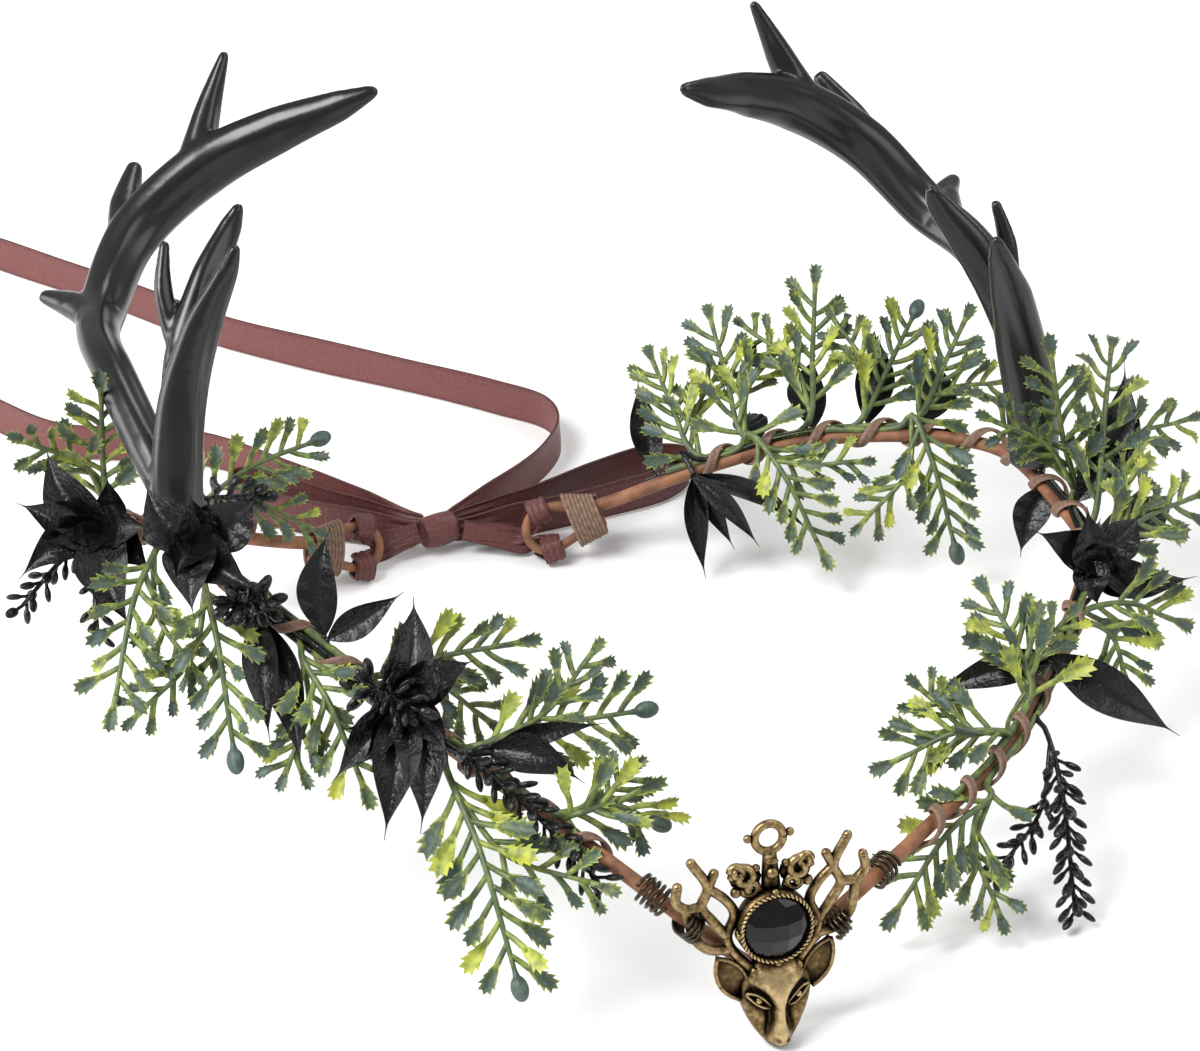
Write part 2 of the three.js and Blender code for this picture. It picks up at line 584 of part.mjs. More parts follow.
// A side shoot parts from the stem and turns from the stem's tip, as seen from the fan's face
function shootGeometry(stem, degrees, width, thick, grow) {
  const start = stem.getPointAt(SHOOT_FROM);
  const reach = stem.getPointAt(1).sub(start).multiplyScalar(SHOOT_REACH);
  reach.applyAxisAngle(FAN_FACE, THREE.MathUtils.degToRad(degrees)).setLength(reach.length() + grow);
  return bladeGeometry(start, start.clone().add(reach), width + 2 * grow, thick + 2 * grow, FAN_FACE);
}

function stemGeometry(curve, grow) {
  const half = (share) => STEM_RADIUS * (1 - STEM_TAPER * share) + grow;
  return bentTube(curve, { sides: 3, steps: STEM_STEPS, half });
}

// Leaves in turn on both sides of a stem, and a leaf or a seed bulb at its tip
function leafGeometries(curve, { leaves, leaf, bulb }, grow) {
  const pieces = [];
  for (let i = 0; i < leaves; i++) {
    const share = THREE.MathUtils.lerp(0.5, 0.93, i / (leaves - 1));
    const spot = curve.getPointAt(share);
    const tangent = curve.getTangentAt(share);
    const face = squareTo(tangent, FAN_FACE);
    const across = tangent.clone().cross(face).multiplyScalar(i % 2 ? 1 : -1);
    const lift = face.clone().multiplyScalar(i % 3 === 0 ? 0.35 : -0.1);
    const heading = tangent.clone().multiplyScalar(0.8).add(across).add(lift).normalize();
    const reach = leaf * (1.1 - 0.35 * (i / leaves));
    const end = spot.clone().addScaledVector(heading, reach + grow);
    pieces.push(bladeGeometry(spot, end, LEAF_WIDTH + 2 * grow, LEAF_THICK + 2 * grow, face, [0.65]));
  }
  const tip = curve.getPointAt(1);
  const heading = curve.getTangentAt(1);
  const face = squareTo(heading, FAN_FACE);
  const end = tip.clone().addScaledVector(heading, (bulb ? BULB_LENGTH : TIP_LEAF_LENGTH) + grow);
  pieces.push(bladeGeometry(
    tip.clone().addScaledVector(heading, -TIP_OVERLAP),
    end,
    (bulb ? BULB_WIDTH : LEAF_WIDTH) + 2 * grow,
    (bulb ? BULB_THICK : LEAF_THICK) + 2 * grow,
    face,
    [0.6],
    BOTH_FACES,
  ));
  return pieces;
}

function sprigSolid(row, grow = 0) {
  const stem = stemCurve(row.side, row.at, row.slot, point(row), row.bow);
  return unite([
    stemGeometry(stem, grow),
    shootGeometry(stem, row.shoot, SHOOT_WIDTH, LEAF_THICK, grow),
    ...leafGeometries(stem, row, grow),
  ]);
}

function rosetteSolid({ side, at, slot, heart, blades }, grow = 0) {
  const curve = stemCurve(side, at, slot, heart, 0);
  const pieces = [stemGeometry(curve, grow)];
  for (const blade of blades) {
    const tip = point(blade);
    const heading = tip.clone().sub(heart).normalize();
    const foot = heart.clone().addScaledVector(heading, -1.5);
    const end = tip.addScaledVector(heading, grow);
    pieces.push(bladeGeometry(foot, end, blade.width + 2 * grow, BLADE_THICK + 2 * grow, FAN_FACE));
  }
  return unite(pieces);
}

function spraySolid({ side, slot, from, to, blades }, grow = 0) {
  const { beside } = stemRoot(side, from, slot);
  const stops = Math.max(3, Math.round((to - from) / 9));
  const points = Array.from({ length: stops + 1 }, (_, i) => (
    beside(from + ((to - from) * i) / stops, STEM_DISTANCE)
  ));
  const pieces = [roundTube(smoothCurve(points), STEM_RADIUS + grow, 3, stops)];
  for (const blade of blades) {
    const root = stemRoot(side, blade.at, slot);
    const foot = root.beside(root.leave, STEM_DISTANCE);
    const tip = point(blade);
    const end = tip.addScaledVector(tip.clone().sub(foot).normalize(), grow);
    const width = blade.width + 2 * grow;
    pieces.push(bladeGeometry(foot, end, width, BLADE_THICK + 2 * grow, FAN_FACE, [0.55]));
  }
  return unite(pieces);
}

// A twig with paddles in a spiral round it
function twigSolid(row, grow = 0) {
  const stem = stemCurve(row.side, row.at, row.slot, point(row), row.bow);
  const pieces = [stemGeometry(stem, grow)];
  const goldenAngle = THREE.MathUtils.degToRad(137.5);
  for (let i = 0; i < row.paddles; i++) {
    const share = THREE.MathUtils.lerp(0.52, 0.97, i / (row.paddles - 1));
    const spot = stem.getPointAt(share);
    const tangent = stem.getTangentAt(share);
    const face = squareTo(tangent, FAN_FACE).applyAxisAngle(tangent, i * goldenAngle);
    const heading = face.clone().add(tangent.clone().multiplyScalar(0.7)).normalize();
    const end = spot.clone().addScaledVector(heading, row.paddle + grow);
    pieces.push(bladeGeometry(spot, end, PADDLE_WIDTH + 2 * grow, PADDLE_THICK + 2 * grow, tangent, [0.6]));
  }
  if (row.shoot) pieces.push(shootGeometry(stem, row.shoot, row.paddle, PADDLE_THICK, grow));
  return unite(pieces);
}

// A ribbon run standing on edge: a flat strip swept along its route
function ribbonGeometry(rows) {
  const curve = smoothCurve(table(RIBBON_COLUMNS, rows).map(point));
  return bentTube(curve, {
    sides: 4,
    steps: 2 * (rows.length - 1),
    turn: Math.PI / 4,
    half: () => (RIBBON_WIDTH / 2) * Math.SQRT2,
    thick: () => (RIBBON_THICK / 2) * Math.SQRT2,
    face: (share) => curve.getTangentAt(share).cross(UP),
  });
}

function hitchSolid(eyelet, knotSide) {
  const { spot } = eyeletAxes(eyelet);
  const strips = [1, -1].map((half) => {
    const route = HITCH_ROUTE.map(({ along, height, depth }) => spot(along, half * height, depth));
    const curve = smoothCurve([knotSide, knotSide.clone().lerp(route[0], 0.5), ...route]);
    const ringMiddle = spot(0.6, half * EYELET_RADIUS);
    const outward = (share) => curve.getPointAt(share).sub(ringMiddle);
    return bentTube(curve, {
      sides: 4,
      steps: HITCH_STEPS,
      turn: Math.PI / 4,
      half: () => HITCH_STRAND_WIDTH * Math.SQRT1_2,
      thick: () => RIBBON_THICK * Math.SQRT1_2,
      face: (share) => (share < HITCH_WRAP_FROM ? FAN_FACE.clone().negate() : outward(share)),
    });
  });
  return unite(strips);
}

function knotGeometry() {
  const profile = [[0, -0.5], [0.86, -0.5], [1, -0.3], [1, 0.3], [0.86, 0.5], [0, 0.5]];
  const knot = new THREE.LatheGeometry(
    profile.map(([radius, along]) => new THREE.Vector2(radius * KNOT_RADIUS, along * KNOT_LENGTH)),
    10,
  );
  return knot.rotateZ(-Math.PI / 2).rotateZ(THREE.MathUtils.degToRad(8))
    .translate(KNOT_CENTRE.x, KNOT_CENTRE.y, KNOT_CENTRE.z);
}

// The pendant's plane: x across, y up, z out towards the viewer
const pendant = new THREE.Group();
pendant.position.copy(PENDANT_PLACE);
pendant.rotation.set(
  THREE.MathUtils.degToRad(90 - PENDANT_LEAN_DEG),
  0,
  THREE.MathUtils.degToRad(PENDANT_YAW_DEG),
  'ZYX',
);
pendant.updateMatrixWorld();

function pendantBar(run, side) {
  const curve = smoothCurve(run.map(([across, up]) => vec(side * across, up, 0)));
  return bentTube(curve, {
    sides: 4,
    steps: run.length - 1,
    half: () => PENDANT_BAR_RADIUS,
    thick: () => PENDANT_HALF_THICK,
    face: () => vec(0, 0, 1),
  });
}

function earGeometry(side) {
  const [rootX, rootY] = EAR.root;
  const [tipX, tipY] = EAR.tip;
  const foot = vec(side * rootX, rootY, 0);
  const tip = vec(side * tipX, tipY, 0);
  return bladeGeometry(foot, tip, 2 * EAR.half, 2.2, vec(0, 0, 1), [0.35, 0.72], BOTH_FACES);
}

function faceGeometry() {
  return new ConvexGeometry(FACE_SECTIONS.flatMap(({ up, half, ridge, cheek }) => [1, -1].flatMap((side) => [
    vec(side * half, up, -PENDANT_HALF_THICK),
    vec(side * half * 0.95, up, cheek),
    vec(side * half * 0.3, up, ridge),
  ])));
}

function ballGeometry({ across, up, out, radius }, side) {
  return new THREE.OctahedronGeometry(radius, 0).translate(side * across, up, out);
}

function scrollPlate(side) {
  const { across, up, radius, thick } = SCROLL_PLATE;
  return new THREE.CylinderGeometry(radius, radius, thick, 8).rotateX(Math.PI / 2)
    .translate(side * across, up, 0);
}

// A disc of the pendant from its back to a height in front of its plane
function pendantDisc(radius, from, to) {
  return new THREE.CylinderGeometry(radius, radius, to - from, STONE_CORNERS)
    .rotateX(Math.PI / 2).translate(0, 0, (from + to) / 2);
}

function pendantSolid() {
  const bezelTop = PENDANT_HALF_THICK + BEZEL_DEPTH;
  const ring = new THREE.TorusGeometry(RING_RADIUS, RING_WIRE_RADIUS, 4, 12).translate(0, RING_HEIGHT, 0);
  const neck = new THREE.CylinderGeometry(1.5, 2.2, NECK_LENGTH, 6).translate(0, NECK_MIDDLE, 0);
  const bead = ballGeometry({ across: 0, up: 11.9, out: 1, radius: 1.7 }, 1);
  const backPlate = pendantDisc(BEZEL_RADIUS, -PENDANT_HALF_THICK, bezelTop);
  const seat = pendantDisc(STONE_RADIUS + GAP, PENDANT_HALF_THICK, bezelTop + BEZEL_DEPTH);
  const bezelBalls = [[0, BEZEL_RADIUS], [0, -BEZEL_RADIUS - 0.4]].map(([across, up]) => (
    ballGeometry({ across, up, out: 1.4, radius: 1.1 }, 1)
  ));
  const scrolls = PENDANT_SCROLLS.flatMap(({ across, up, radius, wire }) => [1, -1].map((side) => (
    new THREE.TorusGeometry(radius, wire, 3, 7).translate(side * across, up, 0.2)
  )));
  const pairs = [1, -1].flatMap((side) => [
    scrollPlate(side),
    ...PENDANT_BARS.map((run) => pendantBar(run, side)),
    ...PENDANT_BALLS.map((row) => ballGeometry(row, side)),
    earGeometry(side),
  ]);
  const casting = unite([ring, neck, bead, backPlate, ...scrolls, ...pairs, faceGeometry()]);
  const setting = casting.subtract(asSolid(seat));
  return bezelBalls.map(asSolid).reduce((whole, ball) => whole.add(ball), setting);
}

// Round stone with a chequered crown: a square table and rows of square facets that fall away
// from it over a shallow dome, above a low girdle and a flat back
function stoneGeometry() {
  const floor = PENDANT_HALF_THICK + GAP;
  const girdle = PENDANT_HALF_THICK + BEZEL_DEPTH - 0.4;
  const dome = (x, y) => girdle + STONE_CROWN * (1 - (x * x + y * y) / (STONE_RADIUS * STONE_RADIUS));
  const lines = [-1.5, -0.5, 0.5, 1.5].map((line) => line * STONE_FACET);
  const corners = lines.flatMap((x) => lines.map((y) => vec(x, y, dome(x, y))))
    .filter(({ x, y }) => Math.hypot(x, y) < STONE_RADIUS);
  const rim = Array.from({ length: STONE_CORNERS }, (_, i) => {
    const angle = (2 * Math.PI * i) / STONE_CORNERS;
    return vec(STONE_RADIUS * Math.cos(angle), STONE_RADIUS * Math.sin(angle), girdle);
  });
  const base = rim.map(({ x, y }) => vec(0.94 * x, 0.94 * y, floor));
  return new ConvexGeometry([...corners, ...rim, ...base]);
}

function coilGeometry({ side, from, to, turns, forward, deep, wide }) {
  const out = vec(0, 0, 1).transformDirection(pendant.matrixWorld);
  const steps = turns * COIL_STEPS_PER_TURN;
  const points = Array.from({ length: steps + 1 }, (_, i) => {
    const share = i / steps;
    const angle = 2 * Math.PI * turns * share;
    const { spot, tangent } = hoopFrame(side, THREE.MathUtils.lerp(from, to, share));
    const front = squareTo(tangent, out);
    const across = tangent.clone().cross(front);
    return spot.addScaledVector(front, forward + deep * Math.cos(angle))
      .addScaledVector(across, wide * Math.sin(angle));
  });
  return roundTube(smoothCurve(points), COIL_WIRE_RADIUS, 3, steps);
}

const crown = new THREE.Group();

function addPiece(name, geometry, finishName, parent = crown) {
  const mesh = new THREE.Mesh(geometry, new THREE.MeshStandardMaterial(FINISHES[finishName]));
  mesh.name = name;
  parent.add(mesh);
}

addPiece('band', bandGeometry(), 'paper');
for (const side of ['left', 'right']) {
  addPiece(`eyelet_wrap_${side}`, wrapGeometry(EYELETS[side]), 'waxedCord');
  addPiece(`binding_${side}`, bindingGeometry(side), 'waxedCord');
}

const wound = ['left', 'right'].map((side) => asSolid(bindingGeometry(side, GAP)));
const hardObstacles = [asSolid(bandGeometry(GAP)), ...wound];
const antlerObstacles = [];
for (const [side, mount] of Object.entries(ANTLER_MOUNTS)) {
  addPiece(`antler_${side}`, asGeometry(mainBody(cutClear(antlerSolid(mount), hardObstacles))), 'antler');
  antlerObstacles.push(antlerSolid(mount, GAP));
}

crown.add(pendant);
addPiece('stag_pendant', asGeometry(mainBody(pendantSolid())), 'brass', pendant);
addPiece('pendant_stone', stoneGeometry(), 'stone', pendant);
for (const coil of WIRE_COILS) addPiece(coil.name, coilGeometry(coil), 'darkWire');

// Foliage is laid on in order, each piece clear of the hoop, the cords, the antlers and what came before
const sprigName = (i) => `green_sprig_${String(i + 1).padStart(2, '0')}`;
const foliage = [
  ...BLACK_SPRAYS.map((row) => ({ row, solid: spraySolid, name: row.name, finish: 'black' })),
  ...BLACK_ROSETTES.map((row) => ({ row, solid: rosetteSolid, name: row.name, finish: 'black' })),
  ...BLACK_TWIGS.map((row) => ({ row, solid: twigSolid, name: row.name, finish: 'black' })),
  ...GREEN_SPRIGS.map((row, i) => ({ row, solid: sprigSolid, name: sprigName(i), finish: 'green' })),
];
const laid = [...hardObstacles, ...antlerObstacles];
for (const piece of foliage) {
  const { row, solid, name, finish: finishName } = piece;
  addPiece(name, asGeometry(mainBody(cutClear(solid(row), laid))), finishName);
  laid.push(solid(row, GAP));
}

for (const [name, rows] of Object.entries(RIBBON_RUNS)) addPiece(name, ribbonGeometry(rows), 'ribbon');
addPiece('ribbon_knot', knotGeometry(), 'ribbon');
for (const [side, knotSide] of Object.entries(HITCH_ENDS)) {
  const hitch = cutClear(hitchSolid(EYELETS[side], knotSide), hardObstacles);
  addPiece(`ribbon_hitch_${side}`, asGeometry(mainBody(hitch)), 'ribbon');
}

// The origin is under the middle of everything but the loose ribbon
const stance = new THREE.Box3();
crown.traverse((piece) => {
  const loose = LOOSE_RIBBON.includes(piece.name);
  if (piece.isMesh && !loose) stance.expandByObject(piece, true);
});
const middle = stance.getCenter(new THREE.Vector3());
crown.position.set(-middle.x, -middle.y, -stance.min.z);

const part = new THREE.Group();
part.add(crown);

export default part;
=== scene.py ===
"""Looks of the antler crown: wire, cords, antlers, pendant, foliage and ribbon, on the part's frame."""

import math

import bpy
import numpy as np
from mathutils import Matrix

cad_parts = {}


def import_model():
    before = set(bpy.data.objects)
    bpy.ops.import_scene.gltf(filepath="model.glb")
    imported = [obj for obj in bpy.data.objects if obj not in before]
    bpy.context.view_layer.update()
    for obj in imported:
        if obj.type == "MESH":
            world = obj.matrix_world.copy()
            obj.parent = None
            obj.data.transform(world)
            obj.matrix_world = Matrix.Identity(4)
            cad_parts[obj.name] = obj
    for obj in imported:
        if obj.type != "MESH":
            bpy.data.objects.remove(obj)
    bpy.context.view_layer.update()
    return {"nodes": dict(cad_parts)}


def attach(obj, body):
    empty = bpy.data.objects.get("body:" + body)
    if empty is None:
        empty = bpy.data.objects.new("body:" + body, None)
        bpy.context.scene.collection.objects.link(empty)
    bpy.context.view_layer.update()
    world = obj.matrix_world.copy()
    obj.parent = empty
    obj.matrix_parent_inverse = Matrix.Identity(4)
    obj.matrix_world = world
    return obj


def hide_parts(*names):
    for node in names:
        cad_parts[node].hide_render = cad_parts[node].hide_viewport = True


# Places are millimetres from the middle of the hoop, and the part's origin lies here among them
ORIGIN = np.array([15.296, 17.240, -0.814])
MM = 0.001
ALONG_X = np.array([1.0, 0.0, 0.0])
ALONG_Y = np.array([0.0, 1.0, 0.0])
UP = np.array([0.0, 0.0, 1.0])
# The way that the foliage and the eyelets face
FAN_FACE = np.array([-0.29, -0.79, 0.54])
TUBE_FACE = np.array([0.31, 0.52, 0.8])
TANGENT_STEP = 0.25
GOLDEN_ANGLE = math.radians(137.5)
HELIX_SMOOTHING = 6
RNG = np.random.default_rng(11)

# Camera of the photograph
CAMERA_LOOK_AT = np.array([0.0, 0.0, 71.0])
CAMERA_AZIMUTH = math.radians(-20)
CAMERA_ELEVATION = math.radians(33)
CAMERA_DISTANCE = 1000.0
CAMERA_FOCAL_PX = 4600.0
CAMERA_CLIP_END = 20
FRAME_WIDTH_PX = 1200.0
SENSOR_MM = 36.0

# Floor and lights, in metres
FLOOR_HALF = 6.0
FLOOR_TONE = (0.86, 0.86, 0.86)
FLOOR_ROUGHNESS = 0.9
WORLD_STRENGTH = 0.48
LIGHTS_LOOK_AT = np.array([0.0, 0.0, 0.05])
# name, place, size, energy
LIGHTS = [
    ("key", (-0.9, -0.2, 1.2), 0.7, 26),
    ("fill", (0.9, -0.7, 0.9), 0.8, 5),
    ("rim", (0.8, 0.5, 1.3), 0.7, 8),
    ("side", (-1.2, 0.45, 0.3), 0.7, 9),
]

# Finishes: dark tone, light tone, roughness, grains in a metre, relief, metallic, mirror
SPECKLED_FINISHES = {
    "paper_wire": ((0.1, 0.037, 0.016), (0.27, 0.112, 0.05), 0.65, 420, 0.5, 0.0, 0.5),
    "waxed_cord": ((0.07, 0.036, 0.024), (0.24, 0.145, 0.1), 0.75, 1500, 0.6, 0.0, 0.5),
    "dark_wire": ((0.006, 0.005, 0.004), (0.085, 0.066, 0.042), 0.24, 800, 0.1, 0.95, 0.5),
    "satin_ribbon": ((0.05, 0.017, 0.016), (0.185, 0.068, 0.064), 0.42, 2400, 0.12, 0.0, 0.25),
    "black_foliage": ((0.0012, 0.0012, 0.0014), (0.007, 0.007, 0.0075), 0.24, 1200, 0.6, 0.0, 0.33),
}
# What grain and tint give to the tone of a speckled finish, the places of its tones, and its relief in metres
SPECKLE_GRAIN = (0.9, -0.2)
SPECKLE_TINT = 0.6
SPECKLE_PLACES = (0.2, 0.75)
SPECKLE_DEPTH = 0.0004
# Green plants, from lime to grey-green for the leaves and to dark olive for the stems
LEAF_TONES = [
    (0.04, (0.37, 0.4, 0.045)), (0.24, (0.21, 0.255, 0.043)), (0.46, (0.08, 0.113, 0.042)),
    (0.72, (0.03, 0.054, 0.041)), (1.0, (0.078, 0.12, 0.102)),
]
STEM_TONES = [
    (0.04, (0.3, 0.34, 0.05)), (0.3, (0.145, 0.19, 0.043)), (0.52, (0.07, 0.1, 0.036)),
    (0.9, (0.042, 0.07, 0.046)),
]
LEAF_BASE = (0.1, 0.2, 0.1)
LEAF_ROUGHNESS = 0.5
STEM_ROUGHNESS = 0.45
LEAF_PATCHES = (420, 3)
LEAF_WANDER = (1.1, -0.55)
LEAF_GRAIN = 1400
LEAF_RELIEF = (0.3, 0.0003)
# Brass from its hollows to its rubbed places
BRASS_TONES = [
    (0.1, (0.008, 0.005, 0.003)), (0.42, (0.05, 0.031, 0.013)), (0.68, (0.135, 0.086, 0.035)),
    (1.0, (0.5, 0.37, 0.185)),
]
BRASS_BASE = (0.2, 0.14, 0.07)
BRASS_ROUGHNESS = 0.36
BRASS_METALLIC = 0.95
BRASS_TINT = (0.5, -0.25)
BRASS_GRAIN = 2200
BRASS_RELIEF = (0.35, 0.0002)
HOLLOW_REACH = 2.5
HOLLOW_RAYS = 8
HOLLOW_TONE = (1.5, -0.75)
WEAR_PATCHES = (900, 6)
WEAR_TONE = (0.7, -0.3)
# Antlers from foot to tip, with a painted light: lighter grey at the foot
ANTLER_TONES = [
    (0.05, (0.018, 0.018, 0.019)), (0.4, (0.006, 0.006, 0.0065)), (0.85, (0.003, 0.003, 0.0034)),
]
ANTLER_BASE = (0.01, 0.01, 0.01)
ANTLER_ROUGHNESS = 0.27
ANTLER_MIRROR = 0.46
ANTLER_GRAIN = 260
ANTLER_WANDER = (0.4, -0.2)
ANTLER_RELIEF = (0.2, 0.0004)
STONE_TONES = [(0.35, (0.001, 0.001, 0.0013)), (0.7, (0.005, 0.005, 0.0058))]
STONE_BASE = (0.002, 0.002, 0.0025)
STONE_ROUGHNESS = 0.03
STONE_MIRROR = 0.3
STONE_CLOUDS = (350, 5)
STONE_MARKS = (2600, 2)
MARK_ROUGHNESS = 0.08

# Hoop of paper-wrapped wire with its eyelets
WIRE_RADIUS = 1.6
EYELET_WIRE_RADIUS = 1.1
EYELET_RADIUS = 5.2
EYELET_SWEEP = math.radians(110)
LOOP_LENGTH = 46.0
EYELET_TAPER = 18.0
BAND_STEPS = 640
BAND_SIDES = 12
PAPER_TWIST = 0.045
PAPER_LEAN = 0.5
PAPER_SHADE = 0.28
HOOP_CENTRE = np.array([10.0, 0.0, 0.0])
HOOP_FRONT = [(6, -88, 13)]
HOOP_RIGHT = [
    (21, -87.6, 24), (29, -85.5, 28), (50, -71, 28), (74, -53, 28), (107, -17, 34),
    (119, 2, 37), (122, 24, 36), (118, 53, 35), (85, 77, 30), (57, 86, 22),
]
HOOP_LEFT = [
    (-8.6, -86, 25), (-17, -82.5, 33), (-32, -62, 42), (-50, -38, 52), (-69, -14, 65),
    (-87, 5, 78), (-98, 35, 72), (-92, 65, 52), (-65, 92, 27),
]
EYELETS = {
    "left": {"centre": (-24, 103, 7.2), "from": (-40, 101, 12)},
    "right": {"centre": (21, 95, 7.2), "from": (38, 92, 13)},
}
EYELET_UPRIGHT = np.array([0.19, 0.51, 0.84])
NECK_MAIN = [(-11, 1.5), (-6.5, 3.7)]
NECK_TAIL = [(-6.5, -3.9), (-10.5, -3), (-14, -2.8)]

# Cord wound on the eyelets, its two ends as along, height, half-height, and cord round the hoop
WRAP_ENDS = [(-6.2, -0.1, 6.6), (-13.6, -1, 4.7)]
WRAP_TURNS = 8
WRAP_CORD_RADIUS = 0.52
WRAP_HALF_DEPTH = 3.2
WRAP_SIDES = 8
WRAP_TURN_POINTS = 20
WRAP_TURN_STEPS = 24
WRAP_TINTS = (0.35, 0.65)
BINDING_PITCH = 13.0
BINDING_HALF_WIDTH = 1.2
BINDING_HALF_THICK = 0.45
BINDING_RADIUS = 3.15
BINDING_OFFSET = 0.85
BINDING_SQUEEZE = 0.82
BINDING_START = 46.0
BINDING_ENDS = {"left": 286.0, "right": 288.0}
BINDING_TURN = {"left": -1, "right": 1}
BINDING_TURN_POINTS = 18
BINDING_TURN_STEPS = 30
BINDING_STRANDS = [0.2, 0.55, 0.75, 0.5, 0.7, 0.25, 0.6, 0.45, 0.7, 0.5]

# Antlers: limbs by points inward, back, up, with half-width and flatness
ANTLER_LIMBS = [
    [(0, 0, -2, 6, 0.95), (1, 4, 12, 6.2, 0.9), (4, 9, 27, 6, 0.8), (9, 10, 43, 5, 0.7),
     (14, 9, 55, 3, 0.65), (16, 9, 61, 1.2, 0.8)],
    [(2, 6, 20, 4.6, 0.9), (6, 15, 33, 5, 0.75), (14, 24, 47, 4.4, 0.65), (21, 30, 56, 2.8, 0.65),
     (23, 31, 60, 1.2, 0.8)],
    [(5, 16, 34, 2.6, 0.9), (4, 24, 45, 2.4, 0.8), (6, 30, 54, 1.2, 0.9)],
    [(0, 2, 4, 3.8, 0.95), (-2, 17, 12, 4.8, 0.95), (-4, 37, 20.5, 5, 0.9), (-3, 54, 21, 5.2, 0.9),
     (2, 69, 21, 5.8, 0.85), (13.5, 84, 31, 6.4, 0.75), (31, 88, 43, 6.6, 0.7), (47, 84, 52, 5.4, 0.65),
     (60, 78, 59, 3.6, 0.65), (68, 75.5, 63, 1.4, 0.8)],
    [(0, 62, 21, 5.2, 0.9), (-4, 72, 21, 4.2, 0.85), (-10, 79, 21, 1.6, 0.9)],
    [(11, 82, 29, 4.8, 0.9), (14, 94, 33, 4.2, 0.85), (19, 104, 39, 1.8, 0.9)],
    [(29, 89, 43, 4.8, 0.9), (34, 96, 53, 3.4, 0.9), (40, 102, 65, 1.2, 0.9)],
]
ANTLER_MOUNTS = {
    "left": {"foot": (-90, 15, 80.5), "inward": 1, "turn": (-4, 3)},
    "right": {"foot": (122.5, 38, 40.5), "inward": -1, "turn": (10, 2)},
}
LIMB_FACE = np.array([0.6, -0.6, 0.5])
LIMB_SIDES = 36
LIMB_STEP = 0.8
LIMB_LEAST_STEPS = 24
TIP_FROM = 0.985
TIP_REACH = 0.02
TIP_LEAST = 0.05
GROOVE_DEPTH = 0.26
GROOVE_HALF_ANGLE = 0.42
GROOVE_FROM = 0.15
GROOVE_SPREAD = 0.8
GROOVE_FADE = 0.6
GROOVE_DRIFT = 0.35
GROOVE_WAVES = 5
RIDGES = 3
RIDGE_RISE = 0.04
GRAIN_LINES = 11
GRAIN_TWIST = 7
GRAIN_RISE = 0.012
SKIN_VOXEL = 0.55
SKIN_SOFTNESS = 0.5
SKIN_PASSES = 9

# Stems, bound beside the wire before they leave it
STEM_RADIUS = 0.75
STEM_SIDES = 7
STEM_DISTANCE = WIRE_RADIUS + 0.85
STEM_LEAVES_AT = 5.6
STEM_HELD = 20.0
STEM_RUN = 18.0
SHORTEST_RUN = 0.9 * STEM_RUN
RUN_POINTS = 5
RUN_STEPS = 16
RUN_TINT = 0.45
STEM_BEND = 1.5
SLOT_ANGLE = math.radians(40)
SHOOT_FROM = 0.42
SHOOT_REACH = 0.85
SHOOT_BOW = 0.55
SHOOT_STEPS = 16

# Green sprigs: side, at, slot, tip x y z, bow, leaves, leaf length, bulb, turn of the side shoot in degrees
GREEN_SPRIGS = [
    ("left", 202, 1, -98, 46, 97, 2, 4, 12, 0, 50),
    ("left", 272, 0, -35, 105, 38, 3, 4, 11, 1, -40),
    ("left", 165, -1, -113, -15, 63, 6, 4, 11, 0, 35),
    ("left", 147, -1, -92, -29, 54, 6, 4, 11, 1, -38),
    ("left", 110, 1, -30, -24, 62, 1, 4, 11, 0, -35),
    ("left", 84, 1, -8, -43, 52, 1, 4, 12, 1, 28),
    ("left", 86, -1, -49, -84, 23, 5, 6, 13, 1, 38),
    ("left", 62, 1, -13, -66, 41, 3, 4, 11, 1, 32),
    ("left", 120, -1, -68, -39, 48, 3, 4, 11, 0, -32),
    ("right", 82, 1, 54, -46, 27, 3, 4, 12, 0, -38),
    ("right", 72, -1, 43, -74, 12, 4, 4, 12, 0, 42),
    ("right", 97, 1, 84, -24, 46, 2, 4, 12, 0, -42),
    ("right", 150, 0, 149, 10, 39, 2, 4, 12, 0, 45),
    ("right", 134, -1, 129, -20, 30, 2, 4, 12, 0, -50),
    ("right", 176, 0, 121, 28, 70, -3, 4, 12, 0, 38),
    ("right", 163, 0, 147, 50, 56, 6, 4, 12, 0, -45),
    ("right", 280, 0, 56, 114, 35, 0, 4, 11, 0, -38),
    ("right", 267, 0, 71, 114, 43, 0, 4, 11, 0, -38),
    ("right", 254, 0, 96, 110, 50, 0, 4, 11, 0, 38),
    ("right", 241, 0, 116, 96, 47, 0, 4, 11, 1, 42),
    ("right", 228, 0, 126, 89, 46, 0, 4, 11, 0, -38),
    ("right", 262, 1, 77, 60, 13, 4, 4, 11, 0, 42),
    ("right", 234, 1, 107, 47, 14, 4, 4, 11, 1, -42),
]
STEM_LOOK = 1
SPRIG_STEM = (0.95, 0.55)
SPRIG_SHOOT = (0.75, 0.5)
SPRIG_SIDES = 8
SPRIG_STEPS = 36
SHOOT_TINT = 0.42
FIRST_LEAF = 7.0
LATEST_START = 0.44
LAST_LEAF = 0.94
STEM_LEAF = 1.1
EXTRA_LEAVES = 5
SHOOT_START = 0.36
SHOOT_LEAVES = 8
SHOOT_LEAF = 0.85
LEAF_TAPER = (1.12, 0.35)
LEAF_MIDDLE = 0.6
TIP_LEAF = 0.85
TIP_LEAF_BACK = 2.5
HEART_CLEAR = 11.0
BULB_HALVES = (1.9, 1.71, 2.85)
BULB_AHEAD = 3
BULB_TINT = 0.78
BULB_NECK = (-2, 0, 1.5)
NECK_HALF = (0.5, 0.7)
NECK_TINT = 0.7
STALK_SHARE = 0.42
STALK_SAG = 0.5
STALK_OVERLAP = 1.5
